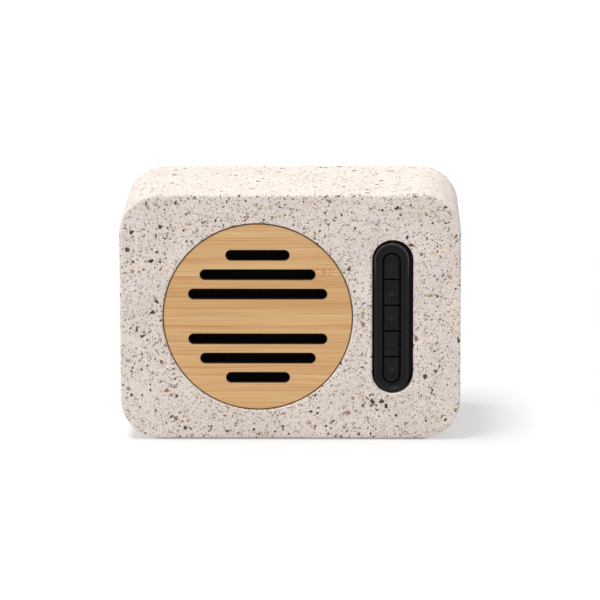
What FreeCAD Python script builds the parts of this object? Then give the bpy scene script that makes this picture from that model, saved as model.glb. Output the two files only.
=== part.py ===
import FreeCAD, Part
import os
import Sketcher

Vector = FreeCAD.Vector
TINY = 1e-6
DIAGONAL = 0.5 ** 0.5

# Sizes in millimetres: X is the width, Y the depth with the front at the low end, Z the height
SIZES = {
    # Stone case
    "case_width": 110.0,
    "case_height": 80.4,
    "case_depth": 54.0,
    "case_corner_radius": 12.8,
    "case_edge_radius": 1.0,
    "case_hole_edge": 0.5,
    "case_wall": 7.0,
    "front_wall": 6.0,
    # Feet
    "foot_diameter": 9.0,
    "foot_thickness": 1.6,
    "foot_proud": 0.4,
    "foot_inset_x": 18.0,
    "foot_inset_y": 13.0,
    # Bamboo grille and the cloth behind it
    "grille_x": -10.5,
    "grille_diameter": 61.0,
    "grille_gap": 0.25,
    "grille_recess": 0.3,
    "grille_thickness": 3.0,
    "grille_edge": 0.3,
    "slot_height": 3.45,
    "slot_lift": 0.15,
    "slot_pitch": 6.37,
    "slot_middle_gap": 14.77,
    "slot_long": 44.85,
    "slot_medium": 37.3,
    "slot_short": 20.62,
    "cloth_thickness": 0.4,
    # Key bezel
    "keypad_x": 32.7,
    "keypad_lift": -0.25,
    "bezel_side_floor": 1.0,
    "bezel_end_floor": 1.25,
    "bezel_hole_shift": 0.35,
    "bezel_hole_lift": 0.25,
    "bezel_hole_gap_x": 1.05,
    "bezel_hole_gap_z": 0.85,
    "bezel_recess": 0.6,
    "bezel_rim": 0.35,
    "bezel_slope_width": 1.25,
    "bezel_dish_depth": 1.0,
    "bezel_floor_thickness": 1.8,
    "bezel_wall": 1.0,
    "bezel_flange_reach": 2.7,
    "bezel_flange_thickness": 1.4,
    # Keys
    "key_row_lift": -0.4,
    "key_width": 5.0,
    "key_pitch": 8.5,
    "key_gap": 0.4,
    "key_window_gap": 0.5,
    "key_recess": 0.4,
    "key_edge": 0.3,
    "key_float": 0.05,
    "key_lip_width": 7.4,
    "key_lip_thickness": 0.8,
    "key_stem_side": 2.4,
    "plunger_side": 2.0,
    "plunger_reach": 0.7,
    "plunger_inside": 0.2,
    "switch_side": 4.4,
    "switch_thickness": 1.5,
    "switch_well_depth": 0.9,
    "key_board_margin": 0.4,
    "key_board_thickness": 1.2,
    "key_board_screw_shank": 1.2,
    "key_board_screw_head": 2.8,
    "key_board_screw_head_height": 1.0,
    "key_plug_width": 4.0,
    "key_plug_depth": 1.6,
    "key_plug_height": 4.6,
    "key_plug_lift": 4.2,
    # Front baffle
    "baffle_thickness": 2.6,
    "baffle_gap": 0.3,
    "baffle_opening_margin": 1.5,
    "post_diameter": 7.0,
    "post_gap": 0.46,
    # Loudspeaker
    "driver_flange_reach": 4.5,
    "driver_flange_corner": 9.0,
    "driver_flange_thickness": 1.0,
    "driver_screw_inset": 5.3,
    "basket_mouth": 44.0,
    "basket_window": 20.0,
    "basket_back": 25.0,
    "basket_wall": 1.0,
    "basket_shelf_depth": 10.0,
    "basket_depth": 14.0,
    "surround_width": 5.5,
    "surround_thickness": 0.5,
    "surround_lip": 1.3,
    "surround_rise": 2.0,
    "surround_drop": 2.6,
    "roll_slope": 1.3,
    "cone_drop": 4.5,
    "cone_thickness": 0.6,
    "coil_diameter": 14.0,
    "coil_wall": 0.3,
    "winding_wall": 0.5,
    "winding_length": 4.0,
    "winding_tail": 0.5,
    "spider_thickness": 0.4,
    "spider_diameter": 32.0,
    "spider_slope": 2.0,
    "dust_cap_diameter": 18.0,
    "dust_cap_rise": 2.4,
    "yoke_diameter": 24.0,
    "yoke_floor": 3.0,
    "motor_gap": 0.4,
    "magnet_thickness": 5.0,
    "pole_plate_thickness": 2.5,
    "terminal_width": 12.0,
    "terminal_depth": 1.2,
    "terminal_margin": 0.25,
    # Rear cover
    "cover_ledge": 3.5,
    "cover_gap": 0.3,
    "cover_recess": 0.3,
    "cover_thickness": 2.5,
    "cover_gasket": 0.5,
    "screw_shank": 2.2,
    "screw_head": 4.6,
    "screw_head_height": 1.6,
    "screw_grip": 6.0,
    # Main board and what it carries
    "board_x": -10.5,
    "board_width": 46.0,
    "board_length": 25.0,
    "board_thickness": 1.2,
    "board_height": 12.2,
    "shelf_width": 5.0,
    "shelf_thickness": 2.0,
    "socket_width": 9.0,
    "socket_height": 3.3,
    "socket_length": 7.4,
    "socket_wall": 0.35,
    "socket_reach": 1.0,
    "socket_window_gap": 0.4,
    "lamp_shift": 11.0,
    "light_pipe_diameter": 2.0,
    "lamp_width": 2.0,
    "lamp_depth": 1.5,
    "lamp_height": 2.4,
    "light_pipe_inside": 2.7,
    "microphone_shift": -12.0,
    "microphone_hole": 1.2,
    "microphone_width": 3.0,
    "microphone_depth": 3.2,
    "microphone_height": 1.2,
    "microphone_gap": 0.2,
    "tongue_margin": 1.15,
    "tongue_height": 0.7,
    "board_screw_head_height": 1.5,
    "board_screw_setback": 4.0,
    "module_width": 14.0,
    "module_height": 2.4,
    "module_shift": -15.0,
    "module_setback": 7.5,
    "module_gap": 2.1,
    "amplifier_width": 6.0,
    "amplifier_length": 5.0,
    "amplifier_height": 1.0,
    "amplifier_setback": 9.0,
    "capacitor_diameter": 5.0,
    "capacitor_height": 6.0,
    "capacitor_shift": 7.5,
    "capacitor_pitch": 6.0,
    "capacitor_setback": 11.0,
    "driver_plug_width": 6.0,
    "driver_plug_length": 4.0,
    "driver_plug_setback": 1.0,
    "battery_plug_width": 5.0,
    "battery_plug_length": 5.0,
    "battery_plug_shift": 16.5,
    "battery_plug_setback": 15.0,
    "plug_height": 4.0,
    "ribbon_plug_width": 3.0,
    "ribbon_plug_length": 5.0,
    "ribbon_plug_setback": 8.0,
    "ribbon_plug_margin": 0.1,
    # Leads
    "lead_thickness": 1.2,
    "lead_width": 2.6,
    "lead_bend": 2.0,
    "lead_run": 2.0,
    "lead_dip": 2.0,
    "lead_rise": 1.7,
    "battery_lead_drop": 4.5,
    "battery_lead_rise": 4.0,
    "ribbon_thickness": 0.4,
    "ribbon_width": 4.0,
    "ribbon_bend": 5.0,
    # Battery
    "battery_width": 50.0,
    "battery_height": 34.0,
    "battery_thickness": 6.0,
    "battery_corner": 2.0,
    "battery_lift": 8.0,
    "battery_pad_thickness": 0.8,
    "battery_pad_margin_x": 4.0,
    "battery_pad_margin_z": 3.0,
}

doc = FreeCAD.newDocument("wireless_speaker")
sheet = doc.addObject("Spreadsheet::Sheet", "sizes")
for row, (name, number) in enumerate(SIZES.items(), start=1):
    sheet.set(f"A{row}", name)
    sheet.set(f"B{row}", str(number))
    sheet.setAlias(f"B{row}", name)
doc.recompute()


class Size:
    """A length: its number now, and the expression that gives it from the spreadsheet."""

    def __init__(self, value, text):
        self.value = value
        self.text = text

    def __add__(self, other):
        other = as_size(other)
        return Size(self.value + other.value, f"({self.text} + {other.text})")

    def __sub__(self, other):
        other = as_size(other)
        return Size(self.value - other.value, f"({self.text} - {other.text})")

    def __mul__(self, factor):
        return Size(self.value * factor, f"({self.text} * {factor})")

    def __truediv__(self, factor):
        return Size(self.value / factor, f"({self.text} / {factor})")

    def __neg__(self):
        return Size(-self.value, f"(-1 * {self.text})")

    __rmul__ = __mul__


def as_size(number):
    return number if isinstance(number, Size) else Size(float(number), f"({float(number)})")


class Sizes:
    """Every cell of the spreadsheet as a Size under its own name."""


dims = Sizes()
for name in SIZES:
    setattr(dims, name, Size(float(sheet.get(name)), f"sizes.{name}"))

# Levels along the depth, front to back
front = -dims.case_depth / 2
rear = dims.case_depth / 2
wall_back = front + dims.front_wall
grille_front = front + dims.grille_recess
grille_back = grille_front + dims.grille_thickness
cloth_back = grille_back + dims.cloth_thickness
baffle_back = wall_back + dims.baffle_thickness
bezel_front = front + dims.bezel_recess
bezel_floor = bezel_front + dims.bezel_dish_depth
bezel_floor_back = bezel_floor + dims.bezel_floor_thickness
bezel_back = wall_back + dims.bezel_flange_thickness
key_board_back = bezel_back + dims.key_board_thickness
switch_front = bezel_back - dims.switch_thickness
plunger_front = switch_front - dims.plunger_reach
key_front = bezel_front + dims.key_recess
key_lip_front = bezel_floor_back + dims.key_float
key_lip_back = key_lip_front + dims.key_lip_thickness
flange_back = baffle_back + dims.driver_flange_thickness
cover_back = rear - dims.cover_recess
cover_front = cover_back - dims.cover_thickness
ledge = cover_front - dims.cover_gasket
battery_back = cover_front - dims.battery_pad_thickness
battery_front = battery_back - dims.battery_thickness
board_front = cover_front - dims.board_length

# Heights, and half sizes of the hollow
middle = dims.foot_proud + dims.case_height / 2
board_level = dims.foot_proud + dims.board_height
board_top = board_level + dims.board_thickness
hollow_width = dims.case_width - dims.case_wall * 2
hollow_height = dims.case_height - dims.case_wall * 2
hollow_radius = dims.case_corner_radius - dims.case_wall
post_inset = hollow_radius - (hollow_radius - dims.post_diameter / 2 - dims.post_gap) * DIAGONAL
post_x = hollow_width / 2 - post_inset
post_z = hollow_height / 2 - post_inset
zero = as_size(0)

# The key bezel grows from the row of keys: window, floor, slope and rim
window_width = dims.key_width + dims.key_window_gap * 2
window_height = dims.key_pitch * 5 - dims.key_gap + dims.key_window_gap * 2
floor_width = window_width + dims.bezel_side_floor * 2
floor_height = window_height + dims.bezel_end_floor * 2
bezel_width = floor_width + (dims.bezel_rim + dims.bezel_slope_width) * 2
bezel_height = floor_height + (dims.bezel_rim + dims.bezel_slope_width) * 2
keypad_middle = middle + dims.keypad_lift

pieces = []


# Helpers for bodies and sketches

def body(label, x=zero, y=zero, z=zero):
    made = doc.addObject("PartDesign::Body", label)
    made.Label = label
    place(made, x, y, z)
    pieces.append(made)
    return made


def place(thing, x, y, z):
    for axis, size in zip("xyz", (x, y, z)):
        thing.setExpression(f"Placement.Base.{axis}", size.text)


def sketch(owner, plane, offset=zero):
    drawing = owner.newObject("Sketcher::SketchObject", "outline")
    support = [item for item in owner.Origin.OriginFeatures if item.Role == plane][0]
    drawing.AttachmentSupport = [(support, "")]
    drawing.MapMode = "FlatFace"
    drawing.setExpression("AttachmentOffset.Base.z", offset.text)
    return drawing


def upright_sketch(owner, depth):
    """A sketch that faces the front, at a level along Y."""
    return sketch(owner, "XZ_Plane", -depth)


def bind(drawing, kind, *where, size):
    index = drawing.addConstraint(Sketcher.Constraint(kind, *where, size.value))
    drawing.renameConstraint(index, f"size_{index}")
    drawing.setExpression(f"Constraints.size_{index}", size.text)


def pin(drawing, geometry, point, x, y):
    bind(drawing, "DistanceX", -1, 1, geometry, point, size=x)
    bind(drawing, "DistanceY", -1, 1, geometry, point, size=y)


def circle(drawing, diameter, x=zero, y=zero):
    shape = Part.Circle(Vector(x.value, y.value, 0), Vector(0, 0, 1), diameter.value / 2)
    index = drawing.addGeometry(shape, False)
    bind(drawing, "Diameter", index, size=diameter)
    pin(drawing, index, 3, x, y)


def polygon(drawing, corners):
    """Straight lines round a list of (x, y) sizes."""
    first = drawing.GeometryCount
    count = len(corners)
    for number, (x, y) in enumerate(corners):
        next_x, next_y = corners[(number + 1) % count]
        start = Vector(x.value, y.value, 0)
        end = Vector(next_x.value, next_y.value, 0)
        drawing.addGeometry(Part.LineSegment(start, end), False)
    for number, (x, y) in enumerate(corners):
        after = first + (number + 1) % count
        drawing.addConstraint(Sketcher.Constraint("Coincident", first + number, 2, after, 1))
        pin(drawing, first + number, 1, x, y)


def rectangle(drawing, width, height, x=zero, y=zero):
    left, right = x - width / 2, x + width / 2
    low, high = y - height / 2, y + height / 2
    polygon(drawing, [(left, low), (right, low), (right, high), (left, high)])


def rounded(drawing, width, height, radius, x=zero, y=zero):
    """A rectangle with round corners: four arcs pinned by their centres, joined by four lines."""
    first = drawing.GeometryCount
    reach_x = width / 2 - radius
    reach_y = height / 2 - radius
    centres = [(x + reach_x, y + reach_y), (x - reach_x, y + reach_y),
               (x - reach_x, y - reach_y), (x + reach_x, y - reach_y)]
    quarter = 1.5707963267948966
    arcs = []
    for number, (centre_x, centre_y) in enumerate(centres):
        base = Part.Circle(Vector(centre_x.value, centre_y.value, 0), Vector(0, 0, 1), radius.value)
        arcs.append(Part.ArcOfCircle(base, number * quarter, (number + 1) * quarter))
    for arc in arcs:
        drawing.addGeometry(arc, False)
    for number, arc in enumerate(arcs):
        after = arcs[(number + 1) % 4]
        drawing.addGeometry(Part.LineSegment(arc.EndPoint, after.StartPoint), False)
    for number in range(4):
        line = first + 4 + number
        drawing.addConstraint(Sketcher.Constraint("Tangent", first + number, 2, line, 1))
        drawing.addConstraint(Sketcher.Constraint("Tangent", line, 2, first + (number + 1) % 4, 1))
        bind(drawing, "Radius", first + number, size=radius)
        pin(drawing, first + number, 3, *centres[number])


def obround(drawing, width, height, x=zero, y=zero):
    """A slot with full round ends; the longer size is its length."""
    first = drawing.GeometryCount
    upright = height.value > width.value
    radius = (width if upright else height) / 2
    reach = (height if upright else width) / 2 - radius
    turn = 0.0 if upright else -1.5707963267948966
    ends = [(x, y + reach), (x, y - reach)] if upright else [(x + reach, y), (x - reach, y)]
    arcs = []
    for number, (centre_x, centre_y) in enumerate(ends):
        base = Part.Circle(Vector(centre_x.value, centre_y.value, 0), Vector(0, 0, 1), radius.value)
        start = turn + number * 3.141592653589793
        arcs.append(Part.ArcOfCircle(base, start, start + 3.141592653589793))
    for arc in arcs:
        drawing.addGeometry(arc, False)
    for number in range(2):
        drawing.addGeometry(Part.LineSegment(arcs[number].EndPoint, arcs[1 - number].StartPoint), False)
    for number in range(2):
        line = first + 2 + number
        drawing.addConstraint(Sketcher.Constraint("Tangent", first + number, 2, line, 1))
        drawing.addConstraint(Sketcher.Constraint("Tangent", line, 2, first + 1 - number, 1))
        bind(drawing, "Radius", first + number, size=radius)
        pin(drawing, first + number, 3, *ends[number])


def half_round(drawing, width, flat, reach, up):
    """A key outline: a flat side at one height and a full round end on the other side."""
    radius = width / 2
    sign = 1 if up else -1
    centre_y = flat + sign * (reach - radius)
    base = Part.Circle(Vector(0, centre_y.value, 0), Vector(0, 0, 1), radius.value)
    turn = 0.0 if up else 3.141592653589793
    arc = Part.ArcOfCircle(base, turn, turn + 3.141592653589793)
    corner_a = Vector(-sign * radius.value, flat.value, 0)
    corner_b = Vector(sign * radius.value, flat.value, 0)
    drawing.addGeometry(arc, False)
    drawing.addGeometry(Part.LineSegment(arc.EndPoint, corner_a), False)
    drawing.addGeometry(Part.LineSegment(corner_a, corner_b), False)
    drawing.addGeometry(Part.LineSegment(corner_b, arc.StartPoint), False)
    drawing.addConstraint(Sketcher.Constraint("Tangent", 0, 2, 1, 1))
    drawing.addConstraint(Sketcher.Constraint("Coincident", 1, 2, 2, 1))
    drawing.addConstraint(Sketcher.Constraint("Coincident", 2, 2, 3, 1))
    drawing.addConstraint(Sketcher.Constraint("Tangent", 3, 2, 0, 1))
    drawing.addConstraint(Sketcher.Constraint("Horizontal", 2))
    bind(drawing, "Radius", 0, size=radius)
    pin(drawing, 0, 3, zero, centre_y)
    bind(drawing, "DistanceY", -1, 1, 2, 1, size=flat)


def pad(owner, drawing, length):
    feature = owner.newObject("PartDesign::Pad", "Pad")
    feature.Profile = drawing
    feature.setExpression("Length", length.text)
    drawing.Visibility = False
    doc.recompute()
    return feature


def pocket(owner, drawing, depth):
    feature = owner.newObject("PartDesign::Pocket", "Pocket")
    feature.Profile = drawing
    feature.setExpression("Length", depth.text)
    drawing.Visibility = False
    doc.recompute()
    return feature


def slab(owner, begin, end, draw):
    """Material between two levels of Y, inside what draw puts in the sketch."""
    drawing = upright_sketch(owner, end)
    draw(drawing)
    return pad(owner, drawing, end - begin)


def cut(owner, begin, end, draw):
    """A hole between two levels of Y."""
    drawing = upright_sketch(owner, begin)
    draw(drawing)
    return pocket(owner, drawing, end - begin)


def soften(owner, kind, size, keep, extra=None):
    """A fillet or chamfer on the edges of the newest feature that keep accepts."""
    base = owner.Tip
    names = [f"Edge{number}" for number, edge in enumerate(base.Shape.Edges, start=1) if keep(edge.BoundBox)]
    feature = owner.newObject(f"PartDesign::{kind}", kind)
    feature.Base = (base, names)
    if kind == "Fillet":
        feature.setExpression("Radius", size.text)
    else:
        feature.setExpression("Size", size.text)
    if extra is not None:
        feature.ChamferType = "Two distances"
        feature.setExpression("Size2", extra.text)
    doc.recompute()
    return feature


def flat_at(level):
    """Accepts an edge that lies wholly in one level of Y."""
    return lambda box: abs(box.YMin - level.value) < TINY and abs(box.YMax - level.value) < TINY


def turned(label, corners):
    """A ring or disc on the loudspeaker's axis from (radius, depth) corners."""
    made = body(label, dims.grille_x, zero, middle)
    drawing = sketch(made, "XY_Plane")
    polygon(drawing, corners)
    spin(made, drawing)
    return made


def spin(owner, drawing):
    feature = owner.newObject("PartDesign::Revolution", "Revolution")
    feature.Profile = drawing
    feature.ReferenceAxis = (drawing, ["V_Axis"])
    feature.Angle = 360.0
    drawing.Visibility = False
    doc.recompute()


def box(label, x, y, z, width, depth, height, listed=True):
    """A plain block centred on x, standing at z, that begins at y."""
    made = doc.addObject("Part::Box", label)
    made.Label = label
    for side, size in (("Length", width), ("Width", depth), ("Height", height)):
        made.setExpression(side, size.text)
    place(made, x - width / 2, y, z)
    if listed:
        pieces.append(made)
    return made


def rod(label, x, y, z, diameter, length, listed=True):
    """A round bar along Y that begins at y."""
    made = doc.addObject("Part::Cylinder", label)
    made.Label = label
    made.setExpression("Radius", (diameter / 2).text)
    made.setExpression("Height", length.text)
    made.Placement.Rotation = FreeCAD.Rotation(Vector(1, 0, 0), -90)
    place(made, x, y, z)
    if listed:
        pieces.append(made)
    return made


def group(label, members):
    made = doc.addObject("Part::Compound", label)
    made.Label = label
    made.Links = members
    pieces.append(made)
    return made


def fuse(label, members, listed=True):
    made = doc.addObject("Part::MultiFuse", label)
    made.Label = label
    made.Shapes = members
    if listed:
        pieces.append(made)
    return made


def four(span_x, span_z):
    """The four corners of a rectangle of half sizes."""
    return [(side_x * span_x, side_z * span_z) for side_x in (-1, 1) for side_z in (-1, 1)]


# Stone case: a casting with an open back, a ledge for the cover and two holes in front
case = body("stone_case", z=middle)
slab(case, front, rear, lambda d: rounded(d, dims.case_width, dims.case_height, dims.case_corner_radius))
soften(case, "Fillet", dims.case_edge_radius,
       lambda box_: flat_at(front)(box_) or flat_at(rear)(box_))
cut(case, wall_back, rear + 1, lambda d: rounded(d, hollow_width, hollow_height, hollow_radius))
cut(case, ledge, rear + 1, lambda d: rounded(d, hollow_width + dims.cover_ledge * 2,
                                             hollow_height + dims.cover_ledge * 2,
                                             hollow_radius + dims.cover_ledge))
grille_hole = dims.grille_diameter + dims.grille_gap * 2
cut(case, front - 1, wall_back + 1, lambda d: circle(d, grille_hole, dims.grille_x))
cut(case, front - 1, wall_back + 1,
    lambda d: obround(d, bezel_width + dims.bezel_hole_gap_x * 2,
                      bezel_height + dims.bezel_hole_gap_z * 2,
                      dims.keypad_x + dims.bezel_hole_shift, dims.keypad_lift + dims.bezel_hole_lift))
soften(case, "Chamfer", dims.case_hole_edge,
       lambda box_: flat_at(front)(box_) and box_.XMax < hollow_width.value / 2
       and -hollow_height.value / 2 < box_.ZMin and box_.ZMax < hollow_height.value / 2
       and -hollow_width.value / 2 < box_.XMin)
foot_x = dims.case_width / 2 - dims.foot_inset_x
foot_y = dims.case_depth / 2 - dims.foot_inset_y
foot_seat = dims.foot_thickness - dims.foot_proud
seats = sketch(case, "XY_Plane", foot_seat - dims.case_height / 2)
for seat_x, seat_y in four(foot_x, foot_y):
    circle(seats, dims.foot_diameter + 0.2, seat_x, seat_y)
pocket(case, seats, foot_seat + 1)

# Feet: soft pads half sunk in the underside
for label, (x, y) in zip(("left_front_foot", "left_rear_foot", "right_front_foot", "right_rear_foot"),
                         four(foot_x, foot_y)):
    foot = doc.addObject("Part::Cylinder", label)
    foot.Label = label
    foot.setExpression("Radius", (dims.foot_diameter / 2).text)
    foot.setExpression("Height", dims.foot_thickness.text)
    place(foot, x, y, zero)
    pieces.append(foot)

# Bamboo grille: a disc with six slots in two sets of three
grille = body("bamboo_grille", dims.grille_x, zero, middle)


def grille_outline(drawing):
    circle(drawing, dims.grille_diameter)
    for number, length in enumerate((dims.slot_long, dims.slot_medium, dims.slot_short)):
        rise = dims.slot_middle_gap / 2 + number * dims.slot_pitch
        obround(drawing, length, dims.slot_height, zero, dims.slot_lift + rise)
        obround(drawing, length, dims.slot_height, zero, dims.slot_lift - rise)


slab(grille, grille_front, grille_back, grille_outline)
soften(grille, "Chamfer", dims.grille_edge,
       lambda box_: flat_at(grille_front)(box_) and box_.XLength > dims.grille_diameter.value - 1)

# Cloth: a thin disc clamped between the grille and the baffle collar
rod("grille_cloth", dims.grille_x, grille_back, middle, dims.grille_diameter - 1, dims.cloth_thickness)

# Front baffle: a plate with a collar for the grille, a cut for the bezel flange and four posts
baffle = body("front_baffle", z=middle)
flange_width = bezel_width + dims.bezel_flange_reach * 2
flange_height = bezel_height + dims.bezel_flange_reach * 2
driver_side = dims.basket_mouth + dims.driver_flange_reach * 2
baffle_opening = dims.basket_mouth + dims.baffle_opening_margin * 2
driver_screw_spot = driver_side / 2 - dims.driver_screw_inset


def baffle_outline(drawing):
    rounded(drawing, hollow_width - dims.baffle_gap * 2, hollow_height - dims.baffle_gap * 2,
            hollow_radius - dims.baffle_gap)
    circle(drawing, baffle_opening, dims.grille_x)
    obround(drawing, flange_width + 0.6, flange_height + 0.6, dims.keypad_x, dims.keypad_lift)


def collar_outline(drawing):
    circle(drawing, grille_hole - dims.baffle_gap * 2, dims.grille_x)
    circle(drawing, grille_hole - dims.baffle_gap * 2 - 6, dims.grille_x)


def post_circles(diameter):
    def draw(drawing):
        for spot_x, spot_z in four(post_x, post_z):
            circle(drawing, diameter, spot_x, spot_z)
    return draw


def driver_screw_circles(diameter, shift=zero):
    def draw(drawing):
        for spot_x, spot_z in four(driver_screw_spot, driver_screw_spot):
            circle(drawing, diameter, spot_x + shift, spot_z)
    return draw


slab(baffle, wall_back, baffle_back, baffle_outline)
slab(baffle, cloth_back, wall_back, collar_outline)
slab(baffle, baffle_back, cover_front, post_circles(dims.post_diameter))
cut(baffle, cover_front - dims.screw_grip - 1, cover_front + 1, post_circles(dims.screw_shank + 0.1))
cut(baffle, wall_back + 0.6, baffle_back + 1, driver_screw_circles(dims.screw_shank + 0.1, dims.grille_x))

# Loudspeaker basket: a square flange and a cup with four windows
basket = body("driver_basket", dims.grille_x, zero, middle)
shelf_level = flange_back + dims.basket_shelf_depth
cup_back = flange_back + dims.basket_depth
mouth = dims.basket_mouth / 2
cup_end = dims.basket_back / 2
wall = dims.basket_wall


def flange_outline(drawing):
    rounded(drawing, driver_side, driver_side, dims.driver_flange_corner)
    circle(drawing, dims.basket_mouth)
    driver_screw_circles(dims.screw_shank + 0.6)(drawing)


slab(basket, baffle_back, flange_back, flange_outline)
cup = sketch(basket, "XY_Plane")
polygon(cup, [(mouth, baffle_back), (mouth + wall, baffle_back), (mouth + wall, shelf_level + wall),
              (cup_end + wall, shelf_level + wall), (cup_end + wall, cup_back), (cup_end - wall, cup_back),
              (cup_end - wall, cup_back - wall), (cup_end, cup_back - wall), (cup_end, shelf_level),
              (mouth, shelf_level)])
spin(basket, cup)
window_level = (flange_back + shelf_level) / 2 + 0.5
window_depth = dims.basket_shelf_depth - 3
window_offset = mouth + wall + 1
for plane in ("XY_Plane", "YZ_Plane"):
    window = sketch(basket, plane, window_offset)
    if plane == "XY_Plane":
        rectangle(window, dims.basket_window, window_depth, zero, window_level)
    else:
        rectangle(window, window_depth, dims.basket_window, window_level, zero)
    pocket(basket, window, window_offset * 2)

# Surround: a rubber ring with a raised roll, from the flange down to the cone edge
skin = dims.surround_thickness
roll_top = baffle_back - dims.surround_rise
edge_level = baffle_back + dims.surround_drop
lip_outer = baffle_opening / 2 - 0.4
cone_edge = mouth - dims.surround_width
crest_outer = mouth - dims.roll_slope
crest_inner = cone_edge + dims.surround_lip + dims.roll_slope
turned("surround", [
    (lip_outer, baffle_back), (lip_outer, baffle_back - skin), (mouth, baffle_back - skin),
    (crest_outer, roll_top - skin), (crest_inner, roll_top - skin),
    (cone_edge + dims.surround_lip, edge_level - skin), (cone_edge, edge_level - skin),
    (cone_edge, edge_level), (cone_edge + dims.surround_lip + skin, edge_level),
    (crest_inner + skin / 2, roll_top), (crest_outer - skin / 2, roll_top), (mouth - skin, baffle_back),
])

# Cone, dust cap and voice coil: they move together along the axis
coil = dims.coil_diameter / 2
cone_back = edge_level + dims.cone_drop
paper = dims.cone_thickness
rim = cone_edge + dims.surround_lip
turned("cone", [(rim, edge_level), (rim - paper, edge_level), (coil, cone_back), (coil, cone_back + paper)])

cap = dims.dust_cap_diameter / 2
slope = dims.cone_drop.value / (rim - paper - coil).value
cap_level = Size(cone_back.value - slope * (cap - coil).value,
                 f"({cone_back.text} - {dims.cone_drop.text} * {(cap - coil).text} / {(rim - paper - coil).text})")
turned("dust_cap", [
    (cap, cap_level), (cap / 2, cap_level - dims.dust_cap_rise * 0.75), (zero, cap_level - dims.dust_cap_rise),
    (zero, cap_level - dims.dust_cap_rise + paper), (cap / 2, cap_level - dims.dust_cap_rise * 0.75 + paper),
    (cap - paper * 1.5, cap_level),
])

gap_middle = cup_back + dims.pole_plate_thickness / 2
winding_front = gap_middle - dims.winding_length / 2
winding_back = gap_middle + dims.winding_length / 2
coil_front = cone_back - paper
coil_back = winding_back + dims.winding_tail
turned("coil_former", [(coil - dims.coil_wall, coil_front), (coil, coil_front),
                       (coil, coil_back), (coil - dims.coil_wall, coil_back)])
winding = coil + dims.winding_wall
turned("coil_winding", [(coil, winding_front), (winding, winding_front),
                        (winding, winding_back), (coil, winding_back)])

# Spider: a springy ring that steps down from the coil former to the basket shelf
web = dims.spider_thickness
spider_front = cone_back + paper + 0.8
spider_rim = dims.spider_diameter / 2
foot_ring = cup_end + 0.6
inner_ring = foot_ring - dims.spider_slope
turned("spider", [
    (coil, spider_front), (inner_ring, spider_front), (foot_ring, shelf_level - web),
    (spider_rim, shelf_level - web), (spider_rim, shelf_level), (foot_ring - web, shelf_level),
    (inner_ring - web, spider_front + web), (coil, spider_front + web),
])

# Motor: a pot yoke on the back of the basket, with the magnet and the pole plate inside it
yoke_floor = cup_back + dims.pole_plate_thickness + dims.magnet_thickness
yoke_back = yoke_floor + dims.yoke_floor
yoke = dims.yoke_diameter / 2
bore = winding + dims.motor_gap
pole = coil - dims.coil_wall - dims.motor_gap
turned("pot_yoke", [(zero, yoke_back), (yoke, yoke_back), (yoke, cup_back), (bore, cup_back),
                    (bore, yoke_floor), (zero, yoke_floor)])
rod("magnet", dims.grille_x, cup_back + dims.pole_plate_thickness, middle,
    (pole - 0.4) * 2, dims.magnet_thickness)
rod("pole_plate", dims.grille_x, cup_back, middle, pole * 2, dims.pole_plate_thickness)
strip_low = middle - driver_side / 2 + dims.terminal_margin
strip_height = dims.driver_flange_reach - wall - dims.terminal_margin * 2
box("driver_terminals", dims.grille_x, flange_back, strip_low,
    dims.terminal_width, dims.terminal_depth, strip_height)


def screw(label, x, y, z, reach, shank, head, height):
    """A fastener along Y: its head stands on level y and its shank points to the front."""
    parts = [rod(label + "_head", x, y, z, head, height, False),
             rod(label + "_shank", x, y - reach, z, shank, reach, False)]
    return fuse(label, parts, False)


driver_screw_reach = flange_back - wall_back - 0.8
group("driver_screws", [
    screw("driver_screw", dims.grille_x + x, flange_back, middle + z, driver_screw_reach,
          dims.screw_shank, dims.screw_head, dims.screw_head_height)
    for x, z in four(driver_screw_spot, driver_screw_spot)])

# Key bezel: a raised rim, a sloped dish, a flat floor with the key window and a flange behind the front wall
bezel = body("key_bezel", dims.keypad_x, zero, keypad_middle)
board_screw_z = (bezel_height / 2 - dims.bezel_wall + flange_height / 2) / 2
slab(bezel, bezel_front, wall_back, lambda d: obround(d, bezel_width, bezel_height))
soften(bezel, "Chamfer", dims.bezel_rim * 0.6, flat_at(bezel_front))
cut(bezel, bezel_front - 1, bezel_floor, lambda d: obround(d, floor_width, floor_height))
inside = floor_width.value / 2 + 0.1
soften(bezel, "Chamfer", dims.bezel_slope_width,
       lambda box_: flat_at(bezel_front)(box_) and -inside < box_.XMin and box_.XMax < inside,
       dims.bezel_dish_depth - 0.1)
slab(bezel, wall_back, bezel_back, lambda d: obround(d, flange_width, flange_height))
cut(bezel, bezel_floor_back, bezel_back + 1,
    lambda d: obround(d, bezel_width - dims.bezel_wall * 2, bezel_height - dims.bezel_wall * 2))
cut(bezel, bezel_floor - 1, bezel_floor_back + 1,
    lambda d: obround(d, window_width, window_height, zero, dims.key_row_lift))


def key_board_screw_holes(diameter):
    def draw(drawing):
        circle(drawing, diameter, zero, board_screw_z)
        circle(drawing, diameter, zero, -board_screw_z)
    return draw


small_shank = dims.key_board_screw_shank
cut(bezel, wall_back, bezel_back + 1, key_board_screw_holes(small_shank + 0.1))

# Keys: a cap through the window, a lip behind it and a stem down to the switch
KEYS = ("previous_key", "volume_down_key", "volume_up_key", "next_key", "power_key")
cap_height = dims.key_pitch - dims.key_gap


def key_outline(width, number):
    def draw(drawing):
        if number in (0, len(KEYS) - 1):
            up = number > 0
            flat = -cap_height / 2 if up else cap_height / 2
            half_round(drawing, width, flat, cap_height + (width - dims.key_width) / 2, up)
        else:
            rectangle(drawing, width, cap_height)
    return draw


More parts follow.
